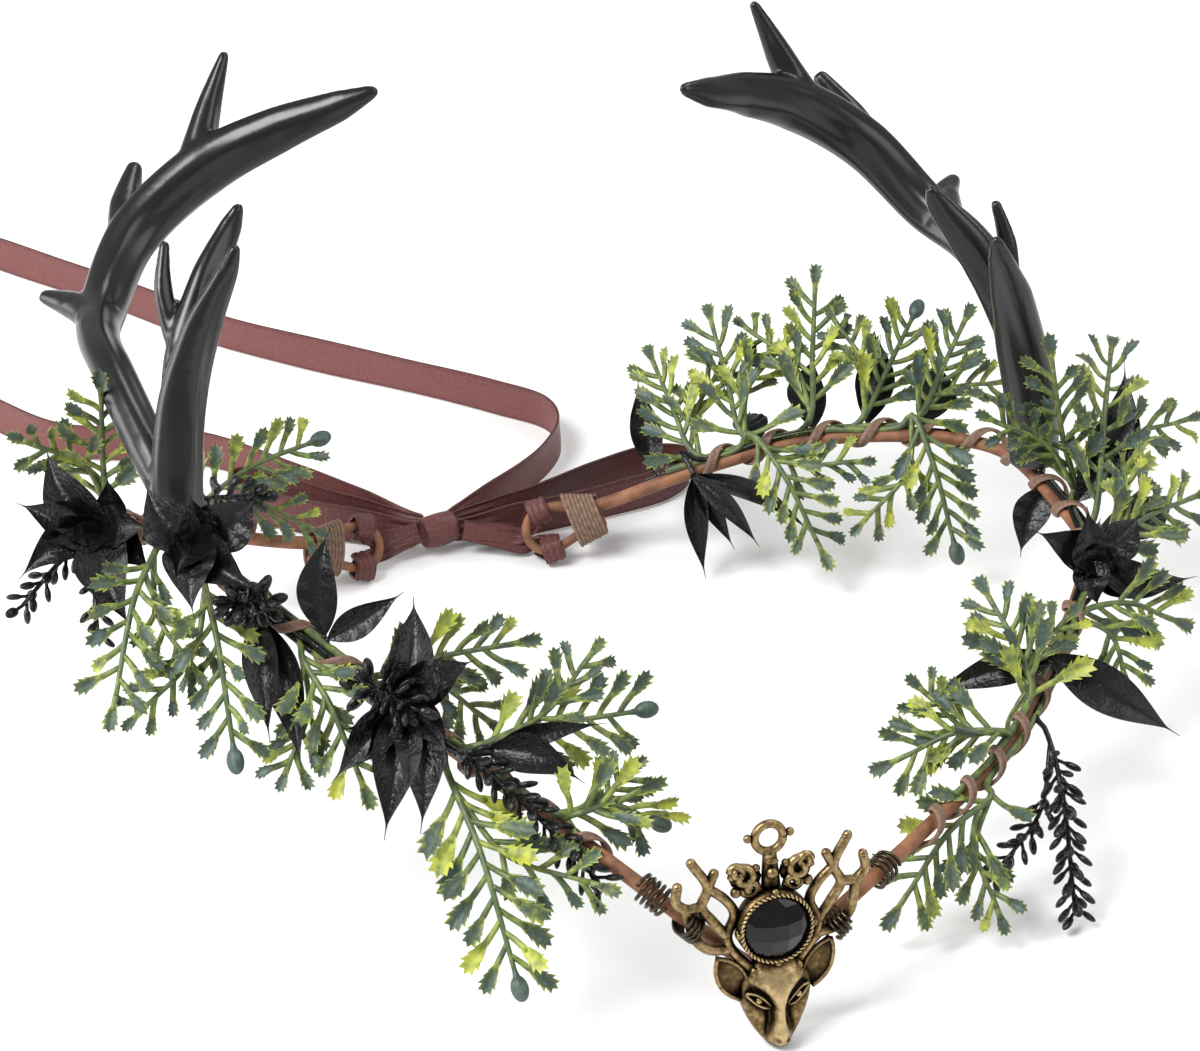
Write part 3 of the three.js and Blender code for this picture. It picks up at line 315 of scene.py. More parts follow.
STALK_HALF = (0.62, 0.82)
STALK_THICK = 0.5
STALK_TONE = (0.3, 0.16)
# Half of a green leaf's outline: place on the rib, place on the edge, half-width, as shares of its length
LEAF_EDGE = [
    (0.0, 0.0, 0.08), (0.12, 0.1, 0.11), (0.22, 0.34, 0.2), (0.3, 0.3, 0.15), (0.42, 0.58, 0.28),
    (0.5, 0.52, 0.19), (0.62, 0.82, 0.33), (0.72, 0.77, 0.2), (0.86, 1.02, 0.24), (0.94, 0.96, 0.1),
    (1.1, 1.1, 0.0),
]
LEAF_COLUMNS = (-1, -0.8, -0.4, 0, 0.4, 0.8, 1)
LEAF_CURL = 0.25
LEAF_FOLD = 0.45
LEAF_THICK = 0.45
RIB_SHADE = 0.8
LIME_EDGE = 0.8
LIME_SHARE = 0.22
# Ranges within which single leaves differ
LEAF_TURN = (-0.5, 0.5)
LEAF_LEAN = (0.75, 1.25)
LEAF_LIFT = (-0.25, 0.5)
LEAF_SIZE = (0.85, 1.08)
LIME_TONE = (0.12, 0.4)
GREEN_TONE = (0.62, 1.0)
TIP_TONE = (0.7, 0.95)

# Black flowers and leaves: name, side, at, slot, heart, blades as tip x y z and width
BLACK_ROSETTES = [
    ("black_flower_01", "left", 187, 0, (-104, 23, 78), [
        (-112, 40, 92, 11), (-121, 34, 83, 10), (-125, 20, 72, 10), (-104, 3, 65, 13), (-96, 12, 84, 10)]),
    ("black_flower_02", "left", 150, 0, (-90, -3, 88), [
        (-98, 10, 98, 12), (-76, 2, 94, 12), (-96, -18, 80, 12), (-82, -18, 84, 11)]),
    ("black_flower_03", "left", 102, -1, (-57, -37, 61), [
        (-49, -20, 76, 10), (-40, -34, 67, 10), (-67, -53, 40, 11), (-60, -56, 42, 11), (-74, -40, 48, 9)]),
    ("black_flower_04", "right", 150, 1, (115.5, -10, 42), [
        (113, -9, 57, 11), (102, -5, 50, 10), (138, -17, 37, 9), (129, -4, 48, 10), (114.5, -16, 33, 9)]),
    ("black_leaves_right_front", "right", 115, 1, (93, -37, 38), [(66.5, -28, 28, 8), (117, -53, 22, 11)]),
    ("black_leaves_left_front", "left", 80, 0, (-41, -48, 53), [(-25, -60, 49, 9), (-17.5, -51.5, 57, 5)]),
    ("black_leaves_right_low", "right", 283, 1, (54, 81, 23), [
        (53, 71, 0.6, 6), (60, 70, 8, 5), (66, 69, 8, 5), (79, 67, 10, 5)]),
]
FLOWER_HEARTS = [np.array(row[4], float) for row in BLACK_ROSETTES if row[0].startswith("black_flower")]
ROSETTE_STEPS = 20
PETAL_WIDTH = 0.88
PETAL_OVERLAP = 1.5
INNER_PETAL = 0.62
PETAL_ARCH = (0.0, 0.16)
PETAL_CUP = (0.45, 0.75)
INNER_SPIN = (0.45, 0.75)
INNER_LIFT = (0.1, 0.6)
INNER_REACH = (0.5, 0.7)
INNER_ARCH = (-0.1, 0.12)
INNER_CUP = 0.7
# name, side, slot, stem from and to, blades as place on the hoop, tip x y z and width
BLACK_SPRAYS = [
    ("black_leaves_left_high", "left", 1, 121, 140, [(125, -62, -5, 88, 8), (125, -51, -20, 78, 6)]),
    ("black_leaves_left_low", "left", -1, 128, 142, [(138, -79, -35, 48, 8), (138, -84, -29, 53, 7)]),
    ("black_leaves_right_antler", "right", -1, 156, 188, [
        (161, 151, 19, 36, 9), (170, 144, 27, 55, 9), (178, 147, 43, 59, 11), (186, 115, 27, 20, 8)]),
    ("black_leaves_right_back", "right", -1, 216, 294, [
        (226, 119, 90, 40, 9), (239, 109, 99, 42, 9), (252, 94, 103, 38, 9), (271, 75, 99, 27, 8),
        (291, 52, 116, 32, 7)]),
]
SPRAY_STEP = 9
SPRAY_STALK = 0.06
SPRAY_STALK_RADIUS = 0.6
SPRAY_ARCH = (-0.06, 0.1)
SPRAY_CUP = 0.5
BLADE_BEND = 0.13
BLADE_COLUMNS = 9
BLADE_ROWS = 27
BLADE_THICK = 0.35
BLADE_TAIL = 0.1
TAIL_HALF = 0.4
BLADE_RUFFLE = 0.05
RUFFLES = 11
BLADE_TINT = 0.45
BLADE_RIB_TINT = 0.3
BLADE_EDGE_TINT = 0.2

# Heather and cones: name, side, at, slot, tip x y z, bow, paddles, paddle length, turn of the side shoot
BLACK_TWIGS = [
    ("black_heather_left", "left", 178, -1, -124, 20, 66, 3, 22, 6, 40),
    ("black_heather_front", "left", 98, 0, -28, -76, 36, 4, 46, 6.5, 0),
    ("black_heather_right", "right", 96, -1, 80, -81, 3.2, 8, 38, 6.5, -32),
    ("black_cone_left", "left", 136, 0, -86, -15, 80, 1, 26, 6.5, 0),
    ("black_cone_back", "left", 256, 1, -52, 93, 34, 1, 22, 6, 0),
    ("black_cone_front", "left", 112, 0, -58, -42, 65, 1, 26, 7, 0),
]
TWIG_STEM = (STEM_RADIUS, 0.65 * STEM_RADIUS)
TWIG_SHOOT = (0.85 * STEM_RADIUS, 0.5 * STEM_RADIUS)
TWIG_STEPS = 26
TWIG_SHOOT_START = 0.35
TWIG_SHOOT_PADDLE = 0.9
HEATHER_START = 0.46
HEATHER_PADDLE = 1.2
CONE_START = 0.66
CONE_PADDLE = 1.35
PADDLE_STALK = 0.42
PADDLE_FLAT = 0.62
PADDLE_SIZE = (0.85, 1.05)

# Ribbon: routes from the knot outwards
RIBBON_RUNS = {
    "ribbon_tail_upper": [
        (2, 111, 4.9), (16, 118, 4.7), (32, 129, 4.7), (40, 140, 4.7), (40, 150, 4.7), (30, 162, 4.7),
        (11, 181, 4.7), (-24, 215, 4.7), (-50, 250, 4.7), (-74, 281, 4.7)],
    "ribbon_tail_lower": [
        (-8, 112.8, 4.9), (-18, 126, 4.7), (-28, 140, 4.7), (-45, 162, 4.7), (-62, 171, 4.7),
        (-79, 180, 4.7), (-95, 203, 4.7)],
    "ribbon_bow_right": [
        (2.4, 108.6, 5.5), (18, 110, 5.1), (42, 117, 4.7), (58, 119, 4.7), (65, 115, 4.7), (58, 109, 4.7),
        (40, 106, 4.7), (18, 105, 4.9), (2.4, 105.6, 5.1)],
    "ribbon_bow_left": [
        (-8.4, 108.8, 5.1), (-22, 117, 4.9), (-38, 130, 4.7), (-46, 139, 4.7), (-43, 144, 4.7),
        (-36, 140, 4.7), (-22, 124, 4.9), (-8.2, 110.8, 5.1)],
}
RIBBON_WIDTH = 10.0
RIBBON_SEEN_WIDTH = RIBBON_WIDTH - 0.3
RIBBON_THICK = 0.6
RIBBON_STEP = 1.2
RIBBON_COLUMNS = 21
RIBBON_RIPPLE = 0.2
RIPPLE_LENGTH = 40
RIPPLE_WAVES = (2.1, 5.0)
PLEAT_WAVES = (3.2 * math.pi, 1.5)
ROUTE_POINTS = 30
GATHER_LENGTH = 18.0
GATHERED_SHARE = 0.62
PLEAT_DEPTH = 0.5
# Painted light on the tails and painted shade on the bows, hitches and knot: the same ribbon in a lit and a
# shaded tone
TAIL_PAINTED_LIGHT = 0.65
KNOTTED_PAINTED_SHADE = 0.32
HEM_SHADE = 0.3
# Painted shade on the ribbon's thin cut edges
RIBBON_EDGE_PAINTED_SHADE = 0.05
KNOT_CENTRE = np.array([-3.0, 107.0, 5.2])
KNOT_RADIUS = 4.2
KNOT_LENGTH = 8.5
KNOT_YAW = math.radians(8)
KNOT_ENTRY = 0.4
KNOT_SIDES = 48
KNOT_ROWS = 25
KNOT_PLEAT = 0.02
KNOT_PLEATS = 5
KNOT_TWIST = 4
# Painted shade in the hollows of the knot's pleats and painted light on their crests
KNOT_PLEAT_PAINTED_SHADE = 4
KNOT_SWELL = (0.84, 0.14)
KNOT_BASE = 0.93
KNOT_CORNER = 0.35
KNOT_MOST = 1.06
# Painted shade on the knot's closed ends, which stand for the shaded inside of the wrap
KNOT_END_PAINTED_SHADE = 0.1
# Hitches: along, height and depth at the eyelet
HITCH_ROUTE = [
    (6.6, 1.2, -3), (0.6, 1.5, -0.8), (0.6, 4, 2.3), (0.6, 7.7, 0.8), (0.6, 6.2, -2.4), (3.4, 3, -3.6),
]
HITCH_ENDS = {"left": (-8.4, 106, 6), "right": (2.4, 103.4, 6)}
HITCH_WIDTH = 5.0
HITCH_STEPS = 90
HITCH_RIPPLE = 0.05
HITCH_PLEATS = 0.16
HITCH_MIDDLE = 0.6
HITCH_TURN = (0.3, 0.48)

# Pendant, by places across, up and out from the stone's middle
PENDANT_PLACE = np.array([5.0, -90.6, 27.3])
PENDANT_LEAN = math.radians(10)
PENDANT_YAW = math.radians(-3)
STONE_RADIUS = 7.0
BEZEL_RADIUS = 8.2
BEZEL_TOP = 3.6
BEZEL_CENTRE = 0.01
# radius, out
BEZEL_WALL = [
    (BEZEL_RADIUS - 0.2, -1.0), (BEZEL_RADIUS, 0), (BEZEL_RADIUS - 0.1, BEZEL_TOP - 0.5),
    (STONE_RADIUS + 0.25, BEZEL_TOP - 0.2), (STONE_RADIUS + 0.25, 1.2), (BEZEL_CENTRE, 1.15),
]
ROPE_BEADS = 46
ROPE_RADIUS = STONE_RADIUS + 0.62
ROPE_OUT = BEZEL_TOP - 0.1
ROPE_SLANT = 0.7
ROPE_HALVES = (0.34, 0.42, 0.72)
STUD_ANGLES = (90, 182, 270, 358)
STUD_OUT = 3.0
STUD_RADIUS = 0.85
BAIL_UP = 19.6
BAIL_RADIUS = 3.1
BAIL_WIRE_RADIUS = 0.95
BAIL_POINTS = 16
SHANK_RUN = [(0, 16.4), (0, 12), (0, 8.2)]
SHANK_HALF = (1.5, 2.2)
SHANK_THICK = 1.1
SHANK_BEAD = (0, 11.9, 1.1)
SHANK_BEAD_RADIUS = 1.45
FILLET_PLACE = (0.2, 14.4, 0.9)
FILLET_HALVES = (1.5, 0.9, 0.6)
PENDANT_BARS = [
    [(4.7, -10.3), (9.2, -4.4), (10, -1.4), (8.2, 3.6), (10, 7.2), (13.7, 10.6)],
    [(10, -1.4), (12.9, 2.7), (15.2, 6.6), (13.7, 10.6), (17, 17)],
    [(9.2, -4.4), (14, -3.6), (17, -0.5), (17.8, 2.6), (18.6, 6.3), (20.6, 8.6), (20.2, 12)],
    [(15.2, 6.6), (18.6, 6.3)],
    [(13.7, 10.6), (12.2, 13.7)],
]
BAR_OUT = 0.25
BAR_HALF = (1.2, 1.08)
BAR_THICK = 1.05
# across, up, out, radius
PENDANT_BALLS = [
    (4.6, 20.1, 0, 0.95), (4.7, -10.3, 1.3, 1.25), (8.2, 0, 2.4, 0.85), (8.2, 14.2, 0.6, 1.0),
    (7.8, 8.6, 0.6, 1.2), (3.2, 13.4, 0.6, 0.9), (3.0, 8.6, 0.8, 0.9),
]
# across, up, size, way of turning
PENDANT_SCROLLS = [(6, 11.8, 2.7, 1), (4.6, 9.2, 1.9, -1), (7.4, 13.2, 1.5, 1)]
SCROLL_SWEEP = 7.5
SCROLL_RISE = 0.7
SCROLL_RADIUS = 0.92
SCROLL_PLATE = (5.4, 11.2, -0.2)
SCROLL_PLATE_HALVES = (3.6, 2.9, 0.8)
EAR_FOOT = np.array([6.4, -15.6])
EAR_TIP = np.array([11.9, -5.6])
EAR_HALF = 2.9
EAR_SHIFT = 0.6
EAR_CUP = 0.9
EAR_SINK = 0.2
EAR_THICK = 0.9
EAR_ROWS = 13
EAR_COLUMNS = np.linspace(-1, 1, 7)
EAR_TINT = 0.2
EAR_RIM_OUT = 0.7
EAR_RIM_RADIUS = 0.5
# up, half-width, depth of the ridge, depth of the cheek
FACE_SECTIONS = [
    (-8.5, 4.6, 2.4, 1.6), (-11.5, 7, 4, 2.4), (-15, 7.8, 5, 2), (-18, 7.5, 5, 2), (-22, 6.1, 5.2, 2),
    (-25.5, 4.2, 5.2, 2.2), (-27.6, 2.6, 4, 2),
]
FACE_BACK = -1.0
FACE_LEAST = -0.6
FACE_ROWS = 44
FACE_COLUMNS = np.linspace(-1, 1, 61)
CHEEK_TONE = 0.3
BROW_TONE = 0.9
CHIN_TONE = 0.55
BRIDGE_TONE = 0.4
BROW_PLACE = (0, -8.5, 0.6)
BROW_HALVES = (4.5, 1.2, 1.7)
CHIN_PLACE = (0, -27.3, 1.6)
CHIN_HALVES = (1.7, 0.9, 2.2)
# up, half-width of the flat of the brow and the nose as a share of the face
NOSE_SHARES = [
    (-27.6, 0.75), (-25, 0.42), (-22, 0.21), (-18.5, 0.18), (-15.5, 0.34), (-12.5, 0.66), (-8.5, 0.8),
]
NOSE_GROOVE = 0.7
GROOVE_ACROSS = 1.35
GROOVE_WIDTH = 0.14
NOSTRIL_LEVELS = (-27, -24)
NOSTRIL_PLACE = (1.0, -25.9, 4.6)
NOSTRIL_RADIUS = 0.55
EYE_ACROSS = 4.3
EYE_UP = -16.7
EYE_TILT = 0.68
EYE_HALF = 2.7
# bow and radius of the upper and the lower lid
EYE_LIDS = ((1.3, 0.34), (-1.0, 0.3))
LID_OUT = 3.0
LID_FALL = 0.28
LID_PEAK = 1.2
PUPIL_OUT = 2.3
PUPIL_RADIUS = 0.85
SOCKET_ACROSS = 0.58
SOCKET_WIDTH = 0.24
SOCKET_HEIGHT = 1.6
SOCKET_DEPTH = 1.1
# name, side, from, to, turns, forward, deep, wide
WIRE_COILS = [
    ("wire_coil_left_outer", "left", 30, 36.5, 5, 0, 3.0, 3.0),
    ("wire_coil_left_inner", "left", 22.6, 26.2, 4, 2.3, 5, 2.9),
    ("wire_coil_right_inner", "right", 15.5, 19.1, 4, 2.3, 5, 2.9),
    ("wire_coil_right_outer", "right", 29.5, 35, 4, 0, 3.0, 3.0),
]
COIL_WIRE_RADIUS = 0.42
COIL_TIGHT = 0.97
COIL_SIDES = 8
COIL_TURN_POINTS = 24
COIL_TURN_STEPS = 32


def unit(v):
    return v / np.linalg.norm(v)


def square_to(axis, direction):
    """The part of a direction that is square to an axis, at unit length."""
    return unit(direction - np.dot(direction, axis) * axis)


def turn_about(v, axis, angle):
    level = axis * np.dot(axis, v) * (1 - math.cos(angle))
    return v * math.cos(angle) + np.cross(axis, v) * math.sin(angle) + level


def turning(axis, angle):
    """The matrix of a turn about an axis."""
    return np.array([turn_about(edge, axis, angle) for edge in np.eye(3)]).T


def smoothstep(x, low, high):
    t = min(max((x - low) / (high - low), 0.0), 1.0)
    return t * t * (3 - 2 * t)


def following(value):
    """A measure along a curve: a number, a pair for its two ends, or a function of the share."""
    if callable(value):
        return value
    first, last = value if isinstance(value, tuple) else (value, value)
    return lambda share: first + (last - first) * share


class Curve:
    """A smooth curve through points, read by shares of its length."""

    def __init__(self, points, per_segment=40):
        p = np.array([np.asarray(q, float) for q in points])
        ends = np.vstack([2 * p[0] - p[1], p, 2 * p[-1] - p[-2]])
        samples = []
        for i in range(len(p) - 1):
            a, b, c, d = ends[i:i + 4]
            samples.append(self._segment(a, b, c, d, np.linspace(0, 1, per_segment, endpoint=False)))
        samples.append(p[-1:])
        self.samples = np.vstack(samples)
        steps = np.linalg.norm(np.diff(self.samples, axis=0), axis=1)
        self.lengths = np.concatenate([[0], np.cumsum(steps)])
        self.length = self.lengths[-1]
        self.stations = self.lengths[::per_segment]

    @staticmethod
    def _segment(a, b, c, d, t):
        d0, d1, d2 = (max(np.linalg.norm(v) ** 0.5, 1e-4) for v in (b - a, c - b, d - c))
        m1 = ((b - a) / d0 - (c - a) / (d0 + d1) + (c - b) / d1) * d1
        m2 = ((c - b) / d1 - (d - b) / (d1 + d2) + (d - c) / d2) * d1
        t = t[:, None]
        return b + m1 * t + (-3 * b + 3 * c - 2 * m1 - m2) * t**2 + (2 * b - 2 * c + m1 + m2) * t**3

    def at(self, share):
        s = min(max(share, 0.0), 1.0) * self.length
        return np.array([np.interp(s, self.lengths, self.samples[:, k]) for k in range(3)])

    def tangent(self, share):
        step = TANGENT_STEP / self.length
        return unit(self.at(min(share + step, 1)) - self.at(max(share - step, 0)))


def ring_faces(first, steps, sides):
    """Faces between rings of points that follow each other from a first point on."""
    faces = []
    for low in range(first, first + steps * sides, sides):
        high = low + sides
        for k in range(sides):
            beside = (k + 1) % sides
            faces.append((low + k, low + beside, high + beside, high + k))
    return faces


def tube_faces(steps, sides):
    """Faces between the rings of a tube, and its two ends."""
    faces = ring_faces(0, steps, sides)
    faces.append(tuple(reversed(range(sides))))
    faces.append(tuple(range(steps * sides, (steps + 1) * sides)))
    return faces


def add_object(name, data):
    made = bpy.data.objects.new(name, data)
    bpy.context.scene.collection.objects.link(made)
    return made


class Shape:
    """Vertices, faces, a tint for each vertex and a material number for each face, in millimetres."""

    def __init__(self):
        self.verts = []
        self.faces = []
        self.tints = []
        self.looks = []

    def add(self, verts, faces, tint=0.5, look=0):
        start = len(self.verts)
        self.verts.extend(np.asarray(v, float) for v in verts)
        self.tints.extend(tint if hasattr(tint, "__len__") else [tint] * len(verts))
        self.faces.extend(tuple(start + i for i in face) for face in faces)
        self.looks.extend([look] * len(faces))

    def tube(self, curve, steps, half, sides=10, thick=None, face=None, tint=0.5, look=0):
        """A closed tube along a curve; its thickness lies along the face, a direction or a function."""
        half = following(half)
        thick = half if thick is None else following(thick)

        def facing(share, otherwise):
            if face is None:
                return otherwise
            return face(share) if callable(face) else face

        normal = square_to(curve.tangent(0.0), facing(0.0, TUBE_FACE))
        verts = []
        for share in np.linspace(0, 1, steps + 1):
            tangent = curve.tangent(share)
            normal = square_to(tangent, facing(share, normal))
            across = np.cross(tangent, normal)
            spot = curve.at(share)
            for k in range(sides):
                angle = 2 * math.pi * k / sides
                off = across * half(share) * math.sin(angle)
                verts.append(spot + off + normal * thick(share) * math.cos(angle))
        self.add(verts, tube_faces(steps, sides), tint, look)

    def egg(self, centre, axes, sides=12, rings=7, tint=0.5):
        """An egg with three half-axes, its poles on the last of them."""
        verts = [centre - axes[2]]
        for i in range(1, rings):
            polar = math.pi * i / rings
            ring = math.sin(polar)
            for k in range(sides):
                angle = 2 * math.pi * k / sides
                around = axes[0] * ring * math.cos(angle) + axes[1] * ring * math.sin(angle)
                verts.append(centre + around - axes[2] * math.cos(polar))
        verts.append(centre + axes[2])
        faces = [(0, 1 + (k + 1) % sides, 1 + k) for k in range(sides)]
        faces.extend(ring_faces(1, rings - 2, sides))
        top, last = 1 + (rings - 2) * sides, len(verts) - 1
        faces.extend((top + k, top + (k + 1) % sides, last) for k in range(sides))
        self.add(verts, faces, tint)

    def ball(self, centre, radius, tint=0.5):
        self.egg(centre, np.eye(3) * radius, tint=tint)

    def grid(self, rows, tint=0.5, turned=False):
        """A sheet through rows of points, which may be turned over."""
        columns = len(rows[0])
        verts = [v for row in rows for v in (row[::-1] if turned else row)]
        faces = []
        for i in range(len(rows) - 1):
            low, high = i * columns, (i + 1) * columns
            faces.extend((low + k, low + k + 1, high + k + 1, high + k) for k in range(columns - 1))
        self.add(verts, faces, tint)

    def build(self, name, materials):
        mesh = bpy.data.meshes.new(name)
        place = (np.array(self.verts) - ORIGIN) * MM
        mesh.from_pydata(place.tolist(), [], self.faces)
        for material in materials:
            mesh.materials.append(material)
        mesh.polygons.foreach_set("material_index", self.looks)
        mesh.polygons.foreach_set("use_smooth", [True] * len(self.faces))
        tint = mesh.attributes.new("tint", "FLOAT", "POINT")
        tint.data.foreach_set("value", [float(t) for t in self.tints])
        mesh.update()
        return add_object(name, mesh)


def settle(piece, node):
    """Puts a piece on the frame in place of a solid."""
    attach(piece, "root")
    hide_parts(node)


def put(shape, name, slot, node):
    """Builds a piece in the material of its slot and settles it."""
    piece = shape.build(name, [MATERIALS[slot]])
    settle(piece, node)
    return piece


# Materials


def shader(name, base, roughness, metallic=0.0, mirror=0.5):
    material = bpy.data.materials.new(name)
    material.use_nodes = True
    bsdf = material.node_tree.nodes["Principled BSDF"]
    bsdf.inputs["Base Color"].default_value = (*base, 1)
    bsdf.inputs["Roughness"].default_value = roughness
    bsdf.inputs["Metallic"].default_value = metallic
    bsdf.inputs["Specular IOR Level"].default_value = mirror
    return material, material.node_tree, bsdf


def noise(tree, scale, detail=4.0):
    node = tree.nodes.new("ShaderNodeTexNoise")
    node.inputs["Scale"].default_value = scale
    node.inputs["Detail"].default_value = detail
    coordinates = tree.nodes.new("ShaderNodeTexCoord")
    tree.links.new(coordinates.outputs["Object"], node.inputs["Vector"])
    return node.outputs["Fac"]


def colour(tree, bsdf, source, stops):
    """Colours a surface by a ramp of places and tones."""
    node = tree.nodes.new("ShaderNodeValToRGB")
    elements = node.color_ramp.elements
    while len(elements) < len(stops):
        elements.new(0.5)
    for element, (place, tone) in zip(elements, stops):
        element.position = place
        element.color = (*tone, 1)
    tree.links.new(source, node.inputs["Fac"])
    tree.links.new(node.outputs["Color"], bsdf.inputs["Base Color"])


def bump(tree, bsdf, source, strength, distance):
    node = tree.nodes.new("ShaderNodeBump")
    node.inputs["Strength"].default_value = strength
    node.inputs["Distance"].default_value = distance
    tree.links.new(source, node.inputs["Height"])
    tree.links.new(node.outputs["Normal"], bsdf.inputs["Normal"])


def added(tree, first, second):
    node = tree.nodes.new("ShaderNodeMath")
    node.operation = "ADD"
    tree.links.new(first, node.inputs[0])
    tree.links.new(second, node.inputs[1])
    return node.outputs["Value"]


def scaled(tree, source, factor, offset=0.0):
    node = tree.nodes.new("ShaderNodeMath")
    node.operation = "MULTIPLY_ADD"
    tree.links.new(source, node.inputs[0])
    node.inputs[1].default_value = factor
    node.inputs[2].default_value = offset
    return node.outputs["Value"]


def tint(tree):
    node = tree.nodes.new("ShaderNodeAttribute")
    node.attribute_name = "tint"
    return node.outputs["Fac"]


def speckled(name, dark, light, roughness, scale, relief, metallic, mirror):
    """A finish whose colour wanders between two tones, with a fine relief."""
    material, tree, bsdf = shader(name, light, roughness, metallic, mirror)
    grain = noise(tree, scale)
    tone = added(tree, scaled(tree, grain, *SPECKLE_GRAIN), scaled(tree, tint(tree), SPECKLE_TINT))
    colour(tree, bsdf, tone, list(zip(SPECKLE_PLACES, (dark, light))))
    bump(tree, bsdf, grain, relief, SPECKLE_DEPTH)
    return material


def leaf_green(name, stops, roughness):
    """Green plastic leaves or stems whose tone wanders between its stops."""
    material, tree, bsdf = shader(name, LEAF_BASE, roughness)
    wander = noise(tree, *LEAF_PATCHES)
    colour(tree, bsdf, added(tree, tint(tree), scaled(tree, wander, *LEAF_WANDER)), stops)
    bump(tree, bsdf, noise(tree, LEAF_GRAIN), *LEAF_RELIEF)
    return material


def brass():
    """Antiqued brass: bright where it is rubbed, dark brown in its hollows."""
    material, tree, bsdf = shader("antique_brass", BRASS_BASE, BRASS_ROUGHNESS, BRASS_METALLIC)
    hollow = tree.nodes.new("ShaderNodeAmbientOcclusion")
    hollow.samples = HOLLOW_RAYS
    hollow.inputs["Distance"].default_value = HOLLOW_REACH * MM
    open_share = scaled(tree, hollow.outputs["AO"], *HOLLOW_TONE)
    wear = added(tree, open_share, scaled(tree, noise(tree, *WEAR_PATCHES), *WEAR_TONE))
    colour(tree, bsdf, added(tree, wear, scaled(tree, tint(tree), *BRASS_TINT)), BRASS_TONES)
    bump(tree, bsdf, noise(tree, BRASS_GRAIN), *BRASS_RELIEF)
    return material


def black_stone():
    """A polished opaque stone, faintly clouded within and with fine polishing marks."""
    material, tree, bsdf = shader("black_stone", STONE_BASE, STONE_ROUGHNESS, mirror=STONE_MIRROR)
    colour(tree, bsdf, noise(tree, *STONE_CLOUDS), STONE_TONES)
    marks = scaled(tree, noise(tree, *STONE_MARKS), MARK_ROUGHNESS)
    tree.links.new(marks, bsdf.inputs["Roughness"])
    return material


def antler_black():
    """Satin black with a painted light that makes it a lighter, dark grey towards the antler's foot, and a
    faint grain.
    """
    material, tree, bsdf = shader("antler_black", ANTLER_BASE, ANTLER_ROUGHNESS, mirror=ANTLER_MIRROR)
    coordinates = tree.nodes.new("ShaderNodeTexCoord")
    split = tree.nodes.new("ShaderNodeSeparateXYZ")
    tree.links.new(coordinates.outputs["Generated"], split.inputs["Vector"])
    grain = noise(tree, ANTLER_GRAIN)
    # Painted light: the colour runs by height from a lighter grey at the foot to black at the tip
    height = added(tree, split.outputs["Z"], scaled(tree, grain, *ANTLER_WANDER))
    colour(tree, bsdf, height, ANTLER_TONES)
    bump(tree, bsdf, grain, *ANTLER_RELIEF)
    return material


MATERIALS = {}


def make_materials():
    for slot, finish in SPECKLED_FINISHES.items():
        MATERIALS[slot] = speckled(slot, *finish)
    MATERIALS["antler_black"] = antler_black()
    MATERIALS["antique_brass"] = brass()
    MATERIALS["black_stone"] = black_stone()
    MATERIALS["green_foliage"] = leaf_green("leaf_green", LEAF_TONES, LEAF_ROUGHNESS)
    MATERIALS["green_stem"] = leaf_green("stem_green", STEM_TONES, STEM_ROUGHNESS)


# The hoop


def eyelet_axes(side):
    """Places at an eyelet, given along its wire, upright and through its ring."""
    centre = np.array(EYELETS[side]["centre"], float)
    along = unit(centre - np.array(EYELETS[side]["from"], float))
    upright = square_to(along, EYELET_UPRIGHT)
    through = square_to(along, FAN_FACE)

    def spot(a, height, depth=0.0):
        return centre + along * a + upright * height + through * depth

    return spot


def eyelet_loop(side):
    spot = eyelet_axes(side)
    arc = []
    for k in (1, 0.6, 0.2, -0.2, -0.6, -1):
        angle = k * EYELET_SWEEP
        arc.append(spot(EYELET_RADIUS * math.cos(angle), EYELET_RADIUS * math.sin(angle)))
    return [spot(*p) for p in NECK_MAIN] + arc + [spot(*p) for p in NECK_TAIL]


LEFT_RUN = HOOP_LEFT + eyelet_loop("left")
HOOP = Curve(LEFT_RUN[::-1] + HOOP_FRONT + HOOP_RIGHT + eyelet_loop("right"))
FRONT_LENGTH = HOOP.stations[len(LEFT_RUN)]


def hoop_frame(side, at):
    """Point and direction of the hoop, and its sides outwards and up, and inwards and up."""
    share = (FRONT_LENGTH + (at if side == "right" else -at)) / HOOP.length
    spot = HOOP.at(share)
    tangent = HOOP.tangent(share)
    radial = spot - HOOP_CENTRE
    radial[2] = 0
    outer = square_to(tangent, unit(radial) + UP)
    return spot, tangent, outer, np.cross(outer, tangent)


def wire_radius(share):
    from_end = min(share, 1 - share) * HOOP.length
    blend = smoothstep(from_end, LOOP_LENGTH - EYELET_TAPER, LOOP_LENGTH)
    return EYELET_WIRE_RADIUS + (WIRE_RADIUS - EYELET_WIRE_RADIUS) * blend


def make_band():
    shape = Shape()
    shape.tube(HOOP, BAND_STEPS, wire_radius, sides=BAND_SIDES)
    turns = [PAPER_TWIST * i + PAPER_LEAN * (i % BAND_SIDES) for i in range(len(shape.tints))]
    shape.tints = [0.5 + PAPER_SHADE * math.sin(turn) for turn in turns]
    put(shape, "band_paper_wire", "paper_wire", "band")


def helix(turns, per_turn, spot_at):
    """A curve that winds about a middle which a function gives by share and angle."""
    steps = int(round(turns * per_turn))
    points = [spot_at(i / steps, 2 * math.pi * turns * i / steps) for i in range(steps + 1)]
    return Curve(points, HELIX_SMOOTHING)


